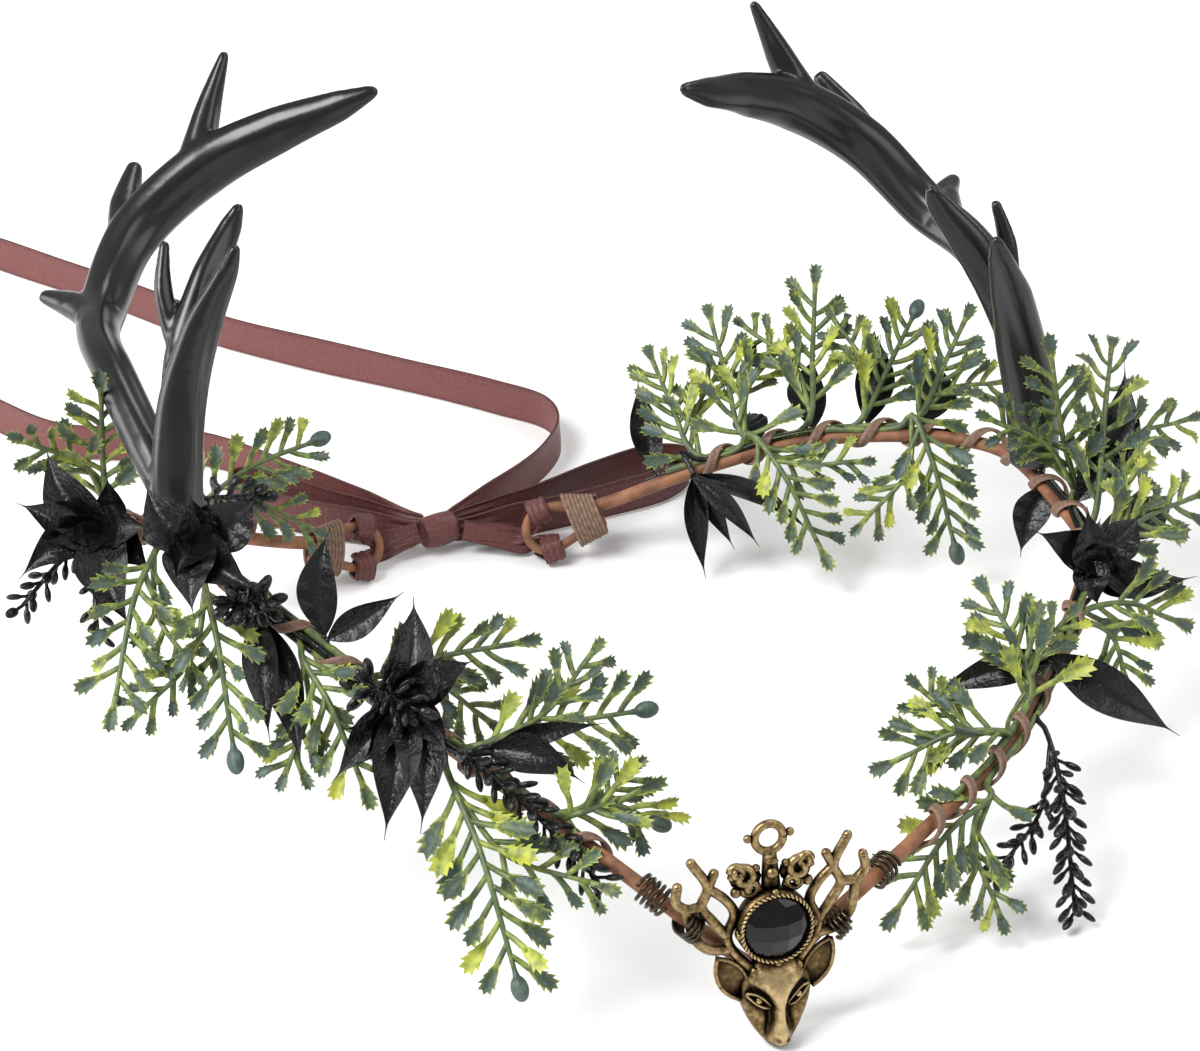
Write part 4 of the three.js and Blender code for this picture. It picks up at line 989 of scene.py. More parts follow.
def make_wraps():
    first, last = np.array(WRAP_ENDS[0]), np.array(WRAP_ENDS[1])
    for side in EYELETS:
        spot = eyelet_axes(side)

        def place(share, angle):
            along, height, half = first + (last - first) * share
            return spot(along, height + half * math.cos(angle), WRAP_HALF_DEPTH * math.sin(angle))

        shape = Shape()
        winding = helix(WRAP_TURNS, WRAP_TURN_POINTS, place)
        shape.tube(winding, WRAP_TURN_STEPS * WRAP_TURNS, WRAP_CORD_RADIUS, sides=WRAP_SIDES)
        shape.tints = [WRAP_TINTS[(i // WRAP_SIDES) % 2] for i in range(len(shape.tints))]
        put(shape, f"eyelet_wrap_{side}_cord", "waxed_cord", f"eyelet_wrap_{side}")


def make_bindings():
    for side, last in BINDING_ENDS.items():
        reach = last - BINDING_START
        turns = reach / BINDING_PITCH

        def away(share):
            """Middle of the bundle, and the way from it to the cord."""
            at = BINDING_START + share * reach
            turn = BINDING_TURN[side] * 2 * math.pi * at / BINDING_PITCH
            spot, _, outer, inner = hoop_frame(side, at)
            direction = outer * math.cos(turn) + inner * BINDING_SQUEEZE * math.sin(turn)
            return spot + outer * BINDING_OFFSET, direction

        def place(share, _):
            centre, direction = away(share)
            return centre + direction * BINDING_RADIUS

        curve = helix(turns, BINDING_TURN_POINTS, place)
        shares = np.linspace(0, 1, len(curve.stations))

        def face(share):
            return away(np.interp(share * curve.length, curve.stations, shares))[1]

        shape = Shape()
        sides = len(BINDING_STRANDS)
        steps = int(turns * BINDING_TURN_STEPS)
        shape.tube(curve, steps, BINDING_HALF_WIDTH, sides=sides, thick=BINDING_HALF_THICK, face=face)
        shape.tints = [BINDING_STRANDS[i % sides] for i in range(len(shape.tints))]
        put(shape, f"binding_{side}_cord", "waxed_cord", f"binding_{side}")


# Antlers


def limb_skin(angle, share, drift):
    """How far a limb's skin stands out: soft ridges, a groove that drifts round the limb and a fine grain."""
    groove = GROOVE_DEPTH * math.sin(math.pi * min(1.0, GROOVE_FROM + GROOVE_SPREAD * share)) ** GROOVE_FADE
    off = math.remainder(angle - drift, 2 * math.pi) / GROOVE_HALF_ANGLE
    skin = 1 + RIDGE_RISE * math.cos(RIDGES * (angle - drift)) - groove * math.exp(-off * off)
    return skin + GRAIN_RISE * math.sin(GRAIN_LINES * angle + GRAIN_TWIST * share)


def add_limb(shape, number, rows, mount):
    rows = np.array(rows, float)
    local = rows[:, :3] * np.array([mount["inward"], 1, 1])
    lean, tilt = (math.radians(v) for v in mount["turn"])
    turn = turning(ALONG_X, lean) @ turning(ALONG_Y, tilt)
    curve = Curve(local @ turn.T + np.array(mount["foot"], float))
    stations = curve.stations / curve.length
    face = LIMB_FACE * np.array([mount["inward"], 1, 1])
    steps = max(LIMB_LEAST_STEPS, int(curve.length / LIMB_STEP))
    verts = []
    for i in range(steps + 1):
        share = i / steps
        tip = max(0.0, (share - TIP_FROM) / TIP_REACH)
        half = np.interp(share, stations, rows[:, 3]) * math.sqrt(max(1 - tip**2, TIP_LEAST))
        flat = np.interp(share, stations, rows[:, 4])
        spot, tangent = curve.at(share), curve.tangent(share)
        normal = square_to(tangent, face)
        across = np.cross(tangent, normal)
        drift = GROOVE_DRIFT * math.sin(GROOVE_WAVES * share + number)
        for k in range(LIMB_SIDES):
            angle = 2 * math.pi * k / LIMB_SIDES
            reach = half * limb_skin(angle, share, drift)
            verts.append(spot + across * reach * math.sin(angle) + normal * reach * flat * math.cos(angle))
    shape.add(verts, tube_faces(steps, LIMB_SIDES))


def make_antlers():
    for side, mount in ANTLER_MOUNTS.items():
        shape = Shape()
        for number, rows in enumerate(ANTLER_LIMBS):
            add_limb(shape, number, rows, mount)
        piece = shape.build(f"antler_{side}_horn", [MATERIALS["antler_black"]])
        join_limbs(piece)
        settle(piece, f"antler_{side}")


def join_limbs(piece):
    """Fuses overlapping limbs into one skin and softens the forks."""
    skin = piece.modifiers.new("skin", "REMESH")
    skin.mode = "VOXEL"
    skin.voxel_size = SKIN_VOXEL * MM
    skin.use_smooth_shade = True
    soften = piece.modifiers.new("soften", "SMOOTH")
    soften.factor = SKIN_SOFTNESS
    soften.iterations = SKIN_PASSES
    bpy.context.view_layer.objects.active = piece
    for modifier in ("skin", "soften"):
        bpy.ops.object.modifier_apply(modifier=modifier)


# Foliage


def stem_root(side, at, slot):
    """Where a stem leaves the cord, and the places beside the wire in its slot."""
    angle = slot * SLOT_ANGLE
    lead = BINDING_TURN[side] * angle / (2 * math.pi) + 0.5
    leave = BINDING_PITCH * (round(at / BINDING_PITCH - lead) + lead)

    def beside(place, distance):
        spot, _, outer, inner = hoop_frame(side, place)
        return spot + outer * distance * math.cos(angle) + inner * distance * math.sin(angle)

    return leave, beside


def bound_stem(side, at, slot, tip, bow):
    """A stem out to its tip, and its far end that runs on under the cord, or none near the cord's ends."""
    leave, beside = stem_root(side, at, slot)
    nearer = np.linalg.norm(beside(leave + 1, 0) - tip) < np.linalg.norm(beside(leave - 1, 0) - tip)
    ahead = 1 if nearer else -1
    out = beside(leave + ahead * STEM_BEND, STEM_LEAVES_AT)
    stem = Curve([
        beside(leave - ahead * STEM_HELD, STEM_DISTANCE),
        beside(leave - ahead * STEM_BEND, STEM_DISTANCE),
        out, (out + tip) / 2 + UP * bow, tip,
    ])
    places = leave - ahead * (STEM_HELD - 1 + STEM_RUN * np.linspace(0, 1, RUN_POINTS))
    places = np.clip(places, BINDING_START, BINDING_ENDS[side])
    if abs(places[-1] - places[0]) < SHORTEST_RUN:
        return stem, None
    return stem, Curve([beside(place, STEM_DISTANCE) for place in places])


def add_stem(shape, stem, run, steps, half, sides=STEM_SIDES, look=0):
    shape.tube(stem, steps, half, sides=sides, look=look)
    if run:
        shape.tube(run, RUN_STEPS, STEM_RADIUS, sides=STEM_SIDES, tint=RUN_TINT, look=look)


def shoot_curve(stem, degrees):
    """A side shoot that parts from a stem and turns from the stem's tip, as seen from the fan's face."""
    start = stem.at(SHOOT_FROM)
    reach = (stem.at(1.0) - start) * SHOOT_REACH
    turns = [turn_about(reach, unit(FAN_FACE), math.radians(degrees * share)) for share in (SHOOT_BOW, 1)]
    return Curve([start, start + 0.5 * turns[0], start + turns[1]])


def leaflet(shape, spot, heading, face, reach, tone):
    """A slender stalk that widens into a leaf with forward teeth, folded a little along its rib."""
    across = np.cross(heading, face)
    stalk = STALK_SHARE * reach
    foot = spot + heading * stalk
    bend = spot + heading * stalk * 0.5 - face * STALK_SAG
    shape.tube(
        Curve([spot, bend, foot + heading * STALK_OVERLAP]), 5, STALK_HALF, sides=6, thick=STALK_THICK,
        face=face, tint=STALK_TONE[0] * tone + STALK_TONE[1], look=STEM_LOOK,
    )
    length = reach - stalk
    curl = RNG.uniform(-LEAF_CURL, LEAF_CURL)
    for under in (0.0, -LEAF_THICK):
        rows, tints = [], []
        for rib, edge, half in LEAF_EDGE:
            row = []
            for side in LEAF_COLUMNS:
                x = rib + (edge - rib) * abs(side)
                rise = curl * x * x * length + LEAF_FOLD * half * length * abs(side)
                spread = across * half * length * side
                row.append(foot + heading * length * x + spread + face * (rise + under * (1 - abs(side))))
                core = tone * (0.4 + 0.6 * min(1.0, 2.5 * x)) * (RIB_SHADE if side == 0 else 1.0)
                tints.append(core * (1 - LIME_EDGE * abs(side) ** 2.5))
            rows.append(row)
        shape.grid(rows, tints, turned=under < 0)


def leaves_on(shape, curve, first, count, leaf, bulb):
    """Leaves in turn on both sides of a stem, and a leaf or a seed bulb at its tip."""
    for i in range(count):
        share = first + (LAST_LEAF - first) * i / (count - 1)
        spot, tangent = curve.at(share), curve.tangent(share)
        face = turn_about(square_to(tangent, FAN_FACE), tangent, RNG.uniform(*LEAF_TURN))
        across = np.cross(tangent, face) * (1 if i % 2 else -1)
        heading = unit(tangent * RNG.uniform(*LEAF_LEAN) + across + face * RNG.uniform(*LEAF_LIFT))
        reach = leaf * (LEAF_TAPER[0] - LEAF_TAPER[1] * i / count) * RNG.uniform(*LEAF_SIZE)
        tone = RNG.uniform(*(LIME_TONE if RNG.random() < LIME_SHARE else GREEN_TONE))
        middle = spot + heading * LEAF_MIDDLE * reach
        if min(np.linalg.norm(middle - heart) for heart in FLOWER_HEARTS) > HEART_CLEAR:
            leaflet(shape, spot, heading, square_to(heading, face), reach, tone)
    tip, heading = curve.at(1.0), curve.tangent(1.0)
    face = square_to(heading, FAN_FACE)
    if bulb:
        add_bulb(shape, tip, heading, face)
    else:
        foot = tip - heading * TIP_LEAF_BACK
        leaflet(shape, foot, heading, face, TIP_LEAF * leaf, RNG.uniform(*TIP_TONE))


def add_bulb(shape, tip, heading, face):
    """A seed bulb on a neck that widens out of the stem."""
    neck = Curve([tip + heading * ahead for ahead in BULB_NECK])
    shape.tube(neck, 6, lambda s: NECK_HALF[0] + NECK_HALF[1] * s * s, sides=8, tint=NECK_TINT)
    axes = np.array([np.cross(heading, face), face, heading]) * np.array(BULB_HALVES)[:, None]
    shape.egg(tip + heading * BULB_AHEAD, axes, sides=14, rings=10, tint=BULB_TINT)


def make_sprigs():
    for number, (side, at, slot, *tip, bow, leaves, leaf, bulb, shoot) in enumerate(GREEN_SPRIGS, 1):
        stem, run = bound_stem(side, at, slot, np.array(tip, float), bow)
        branch = shoot_curve(stem, shoot)
        shape = Shape()
        add_stem(shape, stem, run, SPRIG_STEPS, SPRIG_STEM, sides=SPRIG_SIDES, look=STEM_LOOK)
        shape.tube(branch, SHOOT_STEPS, SPRIG_SHOOT, sides=STEM_SIDES, tint=SHOOT_TINT, look=STEM_LOOK)
        first = min(LATEST_START, (STEM_HELD + FIRST_LEAF) / stem.length)
        leaves_on(shape, stem, first, 2 * leaves + EXTRA_LEAVES, STEM_LEAF * leaf, bulb)
        leaves_on(shape, branch, SHOOT_START, SHOOT_LEAVES, SHOOT_LEAF * leaf, False)
        node = f"green_sprig_{number:02d}"
        piece = shape.build(f"{node}_leaves", [MATERIALS["green_foliage"], MATERIALS["green_stem"]])
        settle(piece, node)


def blade(shape, foot, tip, width, arch, cup):
    """An ovate leaf that ends in a slender tail, creased along its rib, arched along it and bent sideways."""
    bend = RNG.uniform(-BLADE_BEND, BLADE_BEND)
    axis = tip - foot
    length = np.linalg.norm(axis)
    heading = axis / length
    normal = square_to(heading, FAN_FACE)
    across = np.cross(heading, normal)
    sides = np.linspace(-1, 1, BLADE_COLUMNS)
    for under in (0.0, -BLADE_THICK):
        rows, tints = [], []
        for x in np.linspace(0, 1, BLADE_ROWS):
            body = min(x / (1 - BLADE_TAIL), 1.0)
            half = 0.5 * width * math.sin(math.pi * body**0.8) ** 1.2 + TAIL_HALF * math.sqrt(1.02 - x)
            rib = foot + axis * x + normal * arch * length * math.sin(math.pi * x * 0.9)
            rib += across * bend * length * math.sin(math.pi * x)
            ruffle = BLADE_RUFFLE * half * math.sin(RUFFLES * math.pi * x)
            row = []
            for side in sides:
                out = abs(side)
                rise = cup * half * (0.55 * out + 0.45 * out * out) + ruffle * out
                row.append(rib + across * half * side + normal * (rise + under * (1 - out)))
                tints.append(BLADE_TINT + BLADE_RIB_TINT * (out < 0.1) + BLADE_EDGE_TINT * (out > 0.9))
            rows.append(row)
        shape.grid(rows, tints, turned=under < 0)


def make_rosettes():
    for name, side, at, slot, heart, blades in BLACK_ROSETTES:
        heart = np.array(heart, float)
        shape = Shape()
        add_stem(shape, *bound_stem(side, at, slot, heart, 0), ROSETTE_STEPS, STEM_RADIUS)
        for number, (*tip, width) in enumerate(blades):
            tip = np.array(tip, float)
            outward = unit(tip - heart)
            arch, cup = RNG.uniform(*PETAL_ARCH), RNG.uniform(*PETAL_CUP)
            blade(shape, heart - outward * PETAL_OVERLAP, tip, PETAL_WIDTH * width, arch, cup)
            if not name.startswith("black_flower"):
                continue
            spin = (1 if number % 2 else -1) * RNG.uniform(*INNER_SPIN)
            turned = unit(turn_about(outward, FAN_FACE, spin) + FAN_FACE * RNG.uniform(*INNER_LIFT))
            inner_tip = heart + turned * RNG.uniform(*INNER_REACH) * np.linalg.norm(tip - heart)
            blade(shape, heart, inner_tip, INNER_PETAL * width, RNG.uniform(*INNER_ARCH), INNER_CUP)
        put(shape, f"{name}_petals", "black_foliage", name)


def make_sprays():
    for name, side, slot, first, last, blades in BLACK_SPRAYS:
        _, beside = stem_root(side, first, slot)
        stops = max(3, round((last - first) / SPRAY_STEP))
        stem = Curve([beside(first + (last - first) * i / stops, STEM_DISTANCE) for i in range(stops + 1)])
        shape = Shape()
        shape.tube(stem, 6 * stops, STEM_RADIUS, sides=STEM_SIDES)
        for at, *tip, width in blades:
            leave, place = stem_root(side, at, slot)
            foot = place(leave, STEM_DISTANCE)
            tip = np.array(tip, float)
            start = foot + (tip - foot) * SPRAY_STALK
            shape.tube(Curve([foot, (foot + start) / 2, start]), 4, SPRAY_STALK_RADIUS, sides=6)
            blade(shape, start, tip, width, RNG.uniform(*SPRAY_ARCH), SPRAY_CUP)
        put(shape, f"{name}_blades", "black_foliage", name)


def paddle_on(shape, spot, heading, face, length, half):
    """A small club: a thin stalk with a rounded, flattened end."""
    stalk = Curve([spot + heading * length * share for share in (0, 0.3, 0.6)])
    shape.tube(stalk, 2, PADDLE_STALK, sides=5)
    axes = np.array([np.cross(heading, face) * half, face * half * PADDLE_FLAT, heading * length * 0.34])
    shape.egg(spot + heading * length * 0.66, axes, sides=9, tint=0.6)


def paddles_on(shape, curve, first, count, paddle, cone):
    """Paddles in a spiral on a twig; in a cone they stand out below and close over its tip."""
    half = CONE_PADDLE if cone else HEATHER_PADDLE
    for i in range(count):
        share = first + (1 - first) * i / (count - 1)
        tangent = curve.tangent(share)
        spoke = turn_about(square_to(tangent, FAN_FACE), tangent, i * GOLDEN_ANGLE)
        heading = unit(spoke + tangent * ((2 * i / count - 0.6) if cone else 0.9))
        length = paddle * RNG.uniform(*PADDLE_SIZE)
        paddle_on(shape, curve.at(share), heading, square_to(heading, tangent), length, half)


def make_twigs():
    for name, side, at, slot, *tip, bow, paddles, paddle, shoot in BLACK_TWIGS:
        stem, run = bound_stem(side, at, slot, np.array(tip, float), bow)
        cone = name.startswith("black_cone")
        shape = Shape()
        add_stem(shape, stem, run, TWIG_STEPS, TWIG_STEM)
        paddles_on(shape, stem, CONE_START if cone else HEATHER_START, paddles, paddle, cone)
        if shoot:
            branch = shoot_curve(stem, shoot)
            shape.tube(branch, SHOOT_STEPS, TWIG_SHOOT, sides=STEM_SIDES)
            paddles_on(shape, branch, TWIG_SHOOT_START, paddles // 2, TWIG_SHOOT_PADDLE * paddle, cone)
        put(shape, f"{name}_twig", "black_foliage", name)


# Pendant

PENDANT_TURN = turning(UP, PENDANT_YAW) @ turning(ALONG_X, math.pi / 2 - PENDANT_LEAN)
PENDANT_OUT = PENDANT_TURN[:, 2]


def on_pendant(across, up, out=0.0):
    return PENDANT_PLACE + PENDANT_TURN @ np.array([across, up, out], float)


def pendant_tube(shape, points, radius, thick=None, steps=None, sides=10, tone=0.5):
    curve = Curve([on_pendant(*p) for p in points])
    steps = steps or max(8, int(curve.length * 1.6))
    shape.tube(curve, steps, radius, sides=sides, thick=thick, face=PENDANT_OUT, tint=tone)


def pendant_egg(shape, place, halves, tint=0.5):
    """An egg with its half-axes across, up and out."""
    shape.egg(on_pendant(*place), PENDANT_TURN.T * np.array(halves)[:, None], tint=tint)


def circle(radius, out, count):
    """Places on a circle about the stone."""
    angles = np.linspace(0, 2 * math.pi, count + 1)
    return [on_pendant(radius * math.cos(a), radius * math.sin(a), out) for a in angles]


def make_pendant():
    shape = Shape()
    add_bail(shape)
    for hand in (-1, 1):
        for run in PENDANT_BARS:
            pendant_tube(shape, [(hand * u, v, BAR_OUT) for u, v in run], BAR_HALF, BAR_THICK)
            u, v = run[-1]
            shape.ball(on_pendant(hand * u, v, BAR_OUT), BAR_HALF[1])
        for across, up, out, radius in PENDANT_BALLS:
            shape.ball(on_pendant(hand * across, up, out), radius)
        add_scrolls(shape, hand)
        add_ear(shape, hand)
        add_eye(shape, hand)
    add_bezel(shape)
    add_stag_face(shape)
    put(shape, "stag_pendant_casting", "antique_brass", "stag_pendant")


def add_bail(shape):
    """The ring at the top on its shank, with a bead and a fillet in front."""
    ring = []
    for k in range(BAIL_POINTS + 1):
        angle = 2 * math.pi * k / BAIL_POINTS
        ring.append((BAIL_RADIUS * math.cos(angle), BAIL_UP + BAIL_RADIUS * math.sin(angle)))
    pendant_tube(shape, ring, BAIL_WIRE_RADIUS, steps=3 * BAIL_POINTS)
    pendant_tube(shape, SHANK_RUN, SHANK_HALF, SHANK_THICK)
    shape.ball(on_pendant(*SHANK_BEAD), SHANK_BEAD_RADIUS)
    pendant_egg(shape, FILLET_PLACE, FILLET_HALVES)


def add_scrolls(shape, hand):
    """Three spirals on a plate beside the shank."""
    for across, up, size, spin in PENDANT_SCROLLS:
        spiral = []
        for t in np.linspace(0, 1, 16):
            radius, angle = size * (1 - 0.7 * t), spin * SCROLL_SWEEP * t
            spot = (across + radius * math.cos(angle), up + radius * math.sin(angle))
            spiral.append((hand * spot[0], spot[1], 0.5 + SCROLL_RISE * t))
        pendant_tube(shape, spiral, SCROLL_RADIUS, steps=36, sides=8, tone=0.65)
    across, up, out = SCROLL_PLATE
    pendant_egg(shape, (hand * across, up, out), SCROLL_PLATE_HALVES, 0.3)


def add_bezel(shape):
    """The stone's seat: a turned wall, a closed back, a roped rim and four studs."""
    shape.grid([circle(radius, out, 48) for radius, out in BEZEL_WALL[::-1]], 0.35)
    back_radius, back = BEZEL_WALL[0]
    shape.grid([circle(radius, back, 48) for radius in (BEZEL_CENTRE, back_radius)], 0.3)
    for k in range(ROPE_BEADS):
        angle = 2 * math.pi * k / ROPE_BEADS
        radial = np.array([math.cos(angle), math.sin(angle), 0.0])
        slant = unit(np.cross(UP, radial) + ROPE_SLANT * radial)
        wide, high, long = ROPE_HALVES
        axes = [PENDANT_TURN @ np.cross(slant, UP) * wide, PENDANT_OUT * high, PENDANT_TURN @ slant * long]
        spot = ROPE_RADIUS * radial
        shape.egg(on_pendant(spot[0], spot[1], ROPE_OUT), axes, sides=6, rings=5, tint=1.2)
    for degrees in STUD_ANGLES:
        a = math.radians(degrees)
        shape.ball(on_pendant(BEZEL_RADIUS * math.cos(a), BEZEL_RADIUS * math.sin(a), STUD_OUT), STUD_RADIUS)


def add_ear(shape, hand):
    """A cupped ear with a rolled rim."""
    axis = EAR_TIP - EAR_FOOT
    across = np.array([axis[1], -axis[0]]) / np.linalg.norm(axis)
    rows = []
    rims = {-1: [], 1: []}
    for x in np.linspace(0, 1, EAR_ROWS):
        half = EAR_HALF * math.sin(math.pi * min(1.0, 0.1 + 0.9 * x)) ** 0.75

        def spot(side, out):
            u, v = EAR_FOOT + axis * x + across * half * side + across * EAR_SHIFT
            return hand * u, v, out

        rows.append([on_pendant(*spot(side, EAR_CUP * side * side - EAR_SINK)) for side in EAR_COLUMNS])
        for side, rim in rims.items():
            rim.append(spot(side, EAR_RIM_OUT))
    shape.grid(rows, EAR_TINT, turned=hand < 0)
    shape.grid([[p - PENDANT_OUT * EAR_THICK for p in row] for row in rows], EAR_TINT, turned=hand > 0)
    for rim in rims.values():
        pendant_tube(shape, rim[::2], EAR_RIM_RADIUS, sides=8)


def add_eye(shape, hand):
    """An almond eye with lids and a round pupil."""
    for bow, size in EYE_LIDS:
        lid = []
        for x in np.linspace(-EYE_HALF, EYE_HALF, 7):
            up = EYE_UP + EYE_TILT * x + bow * (1 - (x / EYE_HALF) ** 2)
            lid.append((hand * (EYE_ACROSS + x), up, LID_OUT - LID_FALL * abs(x + LID_PEAK)))
        pendant_tube(shape, lid, size, sides=8, tone=0.8)
    shape.ball(on_pendant(hand * EYE_ACROSS, EYE_UP + 0.1, PUPIL_OUT), PUPIL_RADIUS, tint=0.9)


def add_stag_face(shape):
    """The stag's face, lofted from brow to chin, with a brow, a narrow nose and hollow cheeks."""
    sections = np.array(FACE_SECTIONS)
    profile = Curve(sections[:, :3]).samples[::-1]
    cheek = Curve([(up, deep, 0) for up, _, _, deep in FACE_SECTIONS]).samples[::-1]
    rows, tints = [], []
    for level in np.linspace(sections[0, 0], sections[-1, 0], FACE_ROWS):
        half = np.interp(level, profile[:, 0], profile[:, 1])
        ridge = np.interp(level, profile[:, 0], profile[:, 2])
        side = np.interp(level, cheek[:, 0], cheek[:, 1])
        nose = np.interp(level, *zip(*NOSE_SHARES))
        row = [on_pendant(-half, level, FACE_BACK)]
        tints.append(CHEEK_TONE)
        for x in FACE_COLUMNS:
            crest = math.exp(-((abs(x) / nose) ** 3))
            eye_up = EYE_UP + EYE_TILT * half * (abs(x) - SOCKET_ACROSS)
            socket = math.exp(-(((abs(x) - SOCKET_ACROSS) / SOCKET_WIDTH) ** 2))
            socket *= math.exp(-(((level - eye_up) / SOCKET_HEIGHT) ** 2))
            beside = math.exp(-(((abs(x) - GROOVE_ACROSS * nose) / GROOVE_WIDTH) ** 2))
            beside *= smoothstep(level, *NOSTRIL_LEVELS)
            rim = math.sqrt(max(0.0, 1 - abs(x) ** 6))
            out = side * rim + (ridge - side) * crest - SOCKET_DEPTH * socket - NOSE_GROOVE * beside
            row.append(on_pendant(half * x, level, max(out, FACE_LEAST)))
            tints.append(CHEEK_TONE + (BROW_TONE - CHEEK_TONE) * crest)
        row.append(on_pendant(half, level, FACE_BACK))
        tints.append(CHEEK_TONE)
        rows.append(row)
    shape.grid(rows, tints, turned=True)
    shape.grid([[row[0], row[-1]] for row in rows], CHEEK_TONE)
    pendant_egg(shape, CHIN_PLACE, CHIN_HALVES, CHIN_TONE)
    pendant_egg(shape, BROW_PLACE, BROW_HALVES, BRIDGE_TONE)
    for hand in (-1, 1):
        across, up, out = NOSTRIL_PLACE
        shape.ball(on_pendant(hand * across, up, out), NOSTRIL_RADIUS, tint=0.2)


def make_coils():
    for name, side, first, last, turns, forward, deep, wide in WIRE_COILS:
        def place(share, angle):
            spot, tangent, _, _ = hoop_frame(side, first + (last - first) * share)
            front = square_to(tangent, PENDANT_OUT)
            ahead = forward + COIL_TIGHT * deep * math.cos(angle)
            return spot + front * ahead + np.cross(tangent, front) * COIL_TIGHT * wide * math.sin(angle)

        shape = Shape()
        winding = helix(turns, COIL_TURN_POINTS, place)
        shape.tube(winding, COIL_TURN_STEPS * turns, COIL_WIRE_RADIUS, sides=COIL_SIDES)
        put(shape, f"{name}_turns", "dark_wire", name)


# Ribbon


def ribbon_strip(curve, width, steps, face, ripple, pleats, tone):
    """A flat strip along a curve: its width and the depth of its lengthwise pleats follow the share."""
    shape = Shape()
    width, pleats = following(width), following(pleats)
    sides = np.linspace(-1, 1, RIBBON_COLUMNS)
    sheets = {1: [], -1: []}
    for i in range(steps + 1):
        share = i / steps
        spot, tangent = curve.at(share), curve.tangent(share)
        normal = square_to(tangent, face(share))
        across = np.cross(tangent, normal)
        for sign, rows in sheets.items():
            row = []
            for side in sides:
                along = RIPPLE_WAVES[1] * share * curve.length / RIPPLE_LENGTH
                wave = ripple * math.sin(RIPPLE_WAVES[0] * side + along)
                wave += pleats(share) * math.sin(PLEAT_WAVES[0] * side + PLEAT_WAVES[1] * share)
                lift = wave + sign * RIBBON_THICK / 2
                row.append(spot + across * side * width(share) / 2 + normal * lift)
            rows.append(row)
    # The strip's tone is painted: lighter on the lit tails, darker on the shaded bows, hitches and knot; its
    # hems a little darker
    hems = [tone - HEM_SHADE if k in (1, RIBBON_COLUMNS - 2) else tone for k in range(RIBBON_COLUMNS)]
    shape.grid(sheets[1], hems * (steps + 1))
    shape.grid(sheets[-1], hems * (steps + 1), turned=True)
    # The thin edges between the two sheets are painted dark as painted shade
    for k in (0, -1):
        edge = [[top[k], low[k]] for top, low in zip(sheets[1], sheets[-1])]
        shape.grid(edge, RIBBON_EDGE_PAINTED_SHADE, turned=k < 0)
    return shape


def make_ribbon():
    for name, points in RIBBON_RUNS.items():
        looped = name.startswith("ribbon_bow")
        points = [np.array(p, float) for p in points]
        points.insert(0, points[0] + KNOT_ENTRY * (KNOT_CENTRE - points[0]))
        if looped:
            points.append(points[-1] + KNOT_ENTRY * (KNOT_CENTRE - points[-1]))
        curve = Curve(points)

        def open_out(share):
            """How far the ribbon has spread out from the knot, 0 to 1."""
            from_knot = min(share, 1 - share) if looped else share
            return smoothstep(from_knot * curve.length, 0, GATHER_LENGTH)

        def width(share):
            return RIBBON_SEEN_WIDTH * (GATHERED_SHARE + (1 - GATHERED_SHARE) * open_out(share))

        # The tails get a painted light tone and the bow loops a painted shade tone
        shape = ribbon_strip(
            curve, width, int(curve.length / RIBBON_STEP), lambda s: np.cross(curve.tangent(s), UP),
            RIBBON_RIPPLE, lambda s: PLEAT_DEPTH * (1 - open_out(s)), KNOTTED_PAINTED_SHADE if looped else TAIL_PAINTED_LIGHT,
        )
        piece = put(shape, f"{name}_satin", "satin_ribbon", name)
        route = [tuple((curve.at(s) - ORIGIN) * MM) for s in np.linspace(0, 1, ROUTE_POINTS)]
        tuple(route[0])
    for side, end in HITCH_ENDS.items():
        make_hitch(side, np.array(end, float))
    make_knot()


def make_hitch(side, end):
    """Ribbon from the knot that passes through an eyelet and is folded over both sides of its ring."""
    spot = eyelet_axes(side)
    whole = Shape()
    for half in (1, -1):
        route = [spot(a, half * height, depth) for a, height, depth in HITCH_ROUTE]
        curve = Curve([end, end + (route[0] - end) * 0.5] + route)
        middle = spot(HITCH_MIDDLE, half * EYELET_RADIUS)

        def face(share):
            round_ring = unit(curve.at(share) - middle)
            blend = smoothstep(share, *HITCH_TURN)
            return unit(-FAN_FACE * (1 - blend) + round_ring * blend)

        # The hitch takes the painted shade tone of the parts at the knot
        strip = ribbon_strip(curve, HITCH_WIDTH, HITCH_STEPS, face, HITCH_RIPPLE, HITCH_PLEATS, KNOTTED_PAINTED_SHADE)
        whole.add(strip.verts, strip.faces, strip.tints)
    put(whole, f"ribbon_hitch_{side}_satin", "satin_ribbon", f"ribbon_hitch_{side}")


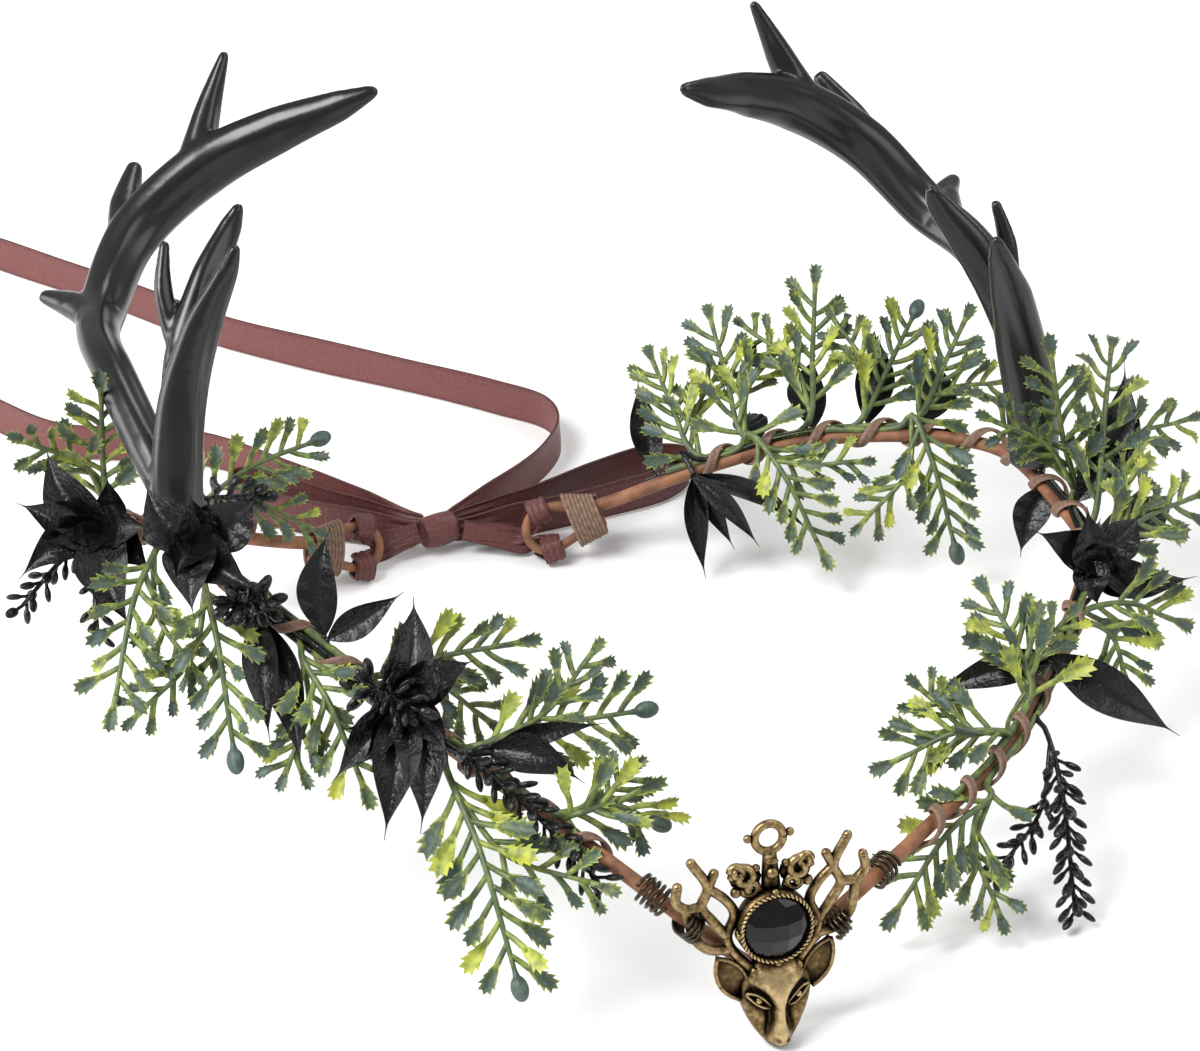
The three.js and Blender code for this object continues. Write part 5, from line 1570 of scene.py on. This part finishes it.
def make_knot():
    """The knot: a flat turn of ribbon pulled tight round the gathered strips."""
    shape = Shape()
    along = np.array([math.cos(KNOT_YAW), math.sin(KNOT_YAW), 0.0])
    side = np.cross(UP, along)
    rows, tints = [], []
    for x in np.linspace(0, 1, KNOT_ROWS):
        swell = KNOT_SWELL[0] + KNOT_SWELL[1] * math.sin(math.pi * x) ** 0.5
        edge = x in (0, 1)
        row = []
        for angle in np.linspace(0, 2 * math.pi, KNOT_SIDES + 1):
            pleat = KNOT_PLEAT * math.sin(KNOT_PLEATS * angle + KNOT_TWIST * x)
            square = 1 / max(abs(math.cos(angle)), abs(math.sin(angle))) ** KNOT_CORNER
            reach = KNOT_RADIUS * swell * (KNOT_BASE + pleat) * min(square, KNOT_MOST)
            round_off = side * math.sin(angle) + UP * math.cos(angle)
            row.append(KNOT_CENTRE + along * KNOT_LENGTH * (x - 0.5) + reach * round_off)
            # Painted shade: the knot in the ribbon's shaded tone, darker in its pleats' hollows and lighter
            # on their crests, its hems darker
            tints.append(KNOTTED_PAINTED_SHADE + KNOT_PLEAT_PAINTED_SHADE * pleat - HEM_SHADE * edge)
        rows.append(row)
    shape.grid(rows, tints)
    # The closed ends are painted dark as painted shade
    for row, turned in ((rows[0], False), (rows[-1], True)):
        centre = [sum(row[:-1]) / KNOT_SIDES] * len(row)
        shape.grid([row, centre] if turned else [centre, row], KNOT_END_PAINTED_SHADE)
    put(shape, "ribbon_knot_satin", "satin_ribbon", "ribbon_knot")


# Stage


def make_camera():
    back = np.array([
        math.sin(CAMERA_AZIMUTH) * math.cos(CAMERA_ELEVATION),
        -math.cos(CAMERA_AZIMUTH) * math.cos(CAMERA_ELEVATION),
        math.sin(CAMERA_ELEVATION),
    ])
    data = bpy.data.cameras.new("photo_camera")
    data.lens = CAMERA_FOCAL_PX / FRAME_WIDTH_PX * SENSOR_MM
    data.sensor_width = SENSOR_MM
    data.clip_end = CAMERA_CLIP_END
    camera = add_object("photo_camera", data)
    camera.location = (CAMERA_LOOK_AT + back * CAMERA_DISTANCE - ORIGIN) * MM
    camera.rotation_euler = (math.pi / 2 - CAMERA_ELEVATION, 0, CAMERA_AZIMUTH)
    bpy.context.scene.camera = camera


def add_light(name, place, size, energy):
    data = bpy.data.lights.new(name, "AREA")
    data.size = size
    data.energy = energy
    light = add_object(name, data)
    light.location = place
    direction = LIGHTS_LOOK_AT - np.array(place)
    yaw = math.atan2(direction[0], -direction[1])
    pitch = math.atan2(math.hypot(direction[0], direction[1]), -direction[2])
    light.rotation_euler = (pitch, 0, yaw + math.pi)


def make_floor():
    mesh = bpy.data.meshes.new("floor")
    corners = [(-1, -1), (1, -1), (1, 1), (-1, 1)]
    mesh.from_pydata([(x * FLOOR_HALF, y * FLOOR_HALF, 0) for x, y in corners], [], [(0, 1, 2, 3)])
    mesh.materials.append(shader("floor_paper", FLOOR_TONE, FLOOR_ROUGHNESS)[0])
    floor = add_object("floor", mesh)


def make_stage():
    make_floor()
    world = bpy.data.worlds.new("studio")
    world.use_nodes = True
    background = world.node_tree.nodes["Background"]
    background.inputs["Color"].default_value = (1, 1, 1, 1)
    background.inputs["Strength"].default_value = WORLD_STRENGTH
    bpy.context.scene.world = world
    bpy.context.scene.view_settings.view_transform = "Standard"
    for light in LIGHTS:
        add_light(*light)


def main():
    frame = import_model()
    make_materials()
    make_camera()
    make_ribbon()
    make_band()
    make_wraps()
    make_bindings()
    make_antlers()
    make_pendant()
    make_coils()
    make_sprigs()
    make_rosettes()
    make_sprays()
    make_twigs()
    stone = frame["nodes"]["pendant_stone"]
    stone.data.materials.clear()
    stone.data.materials.append(MATERIALS["black_stone"])
    make_stage()


main()
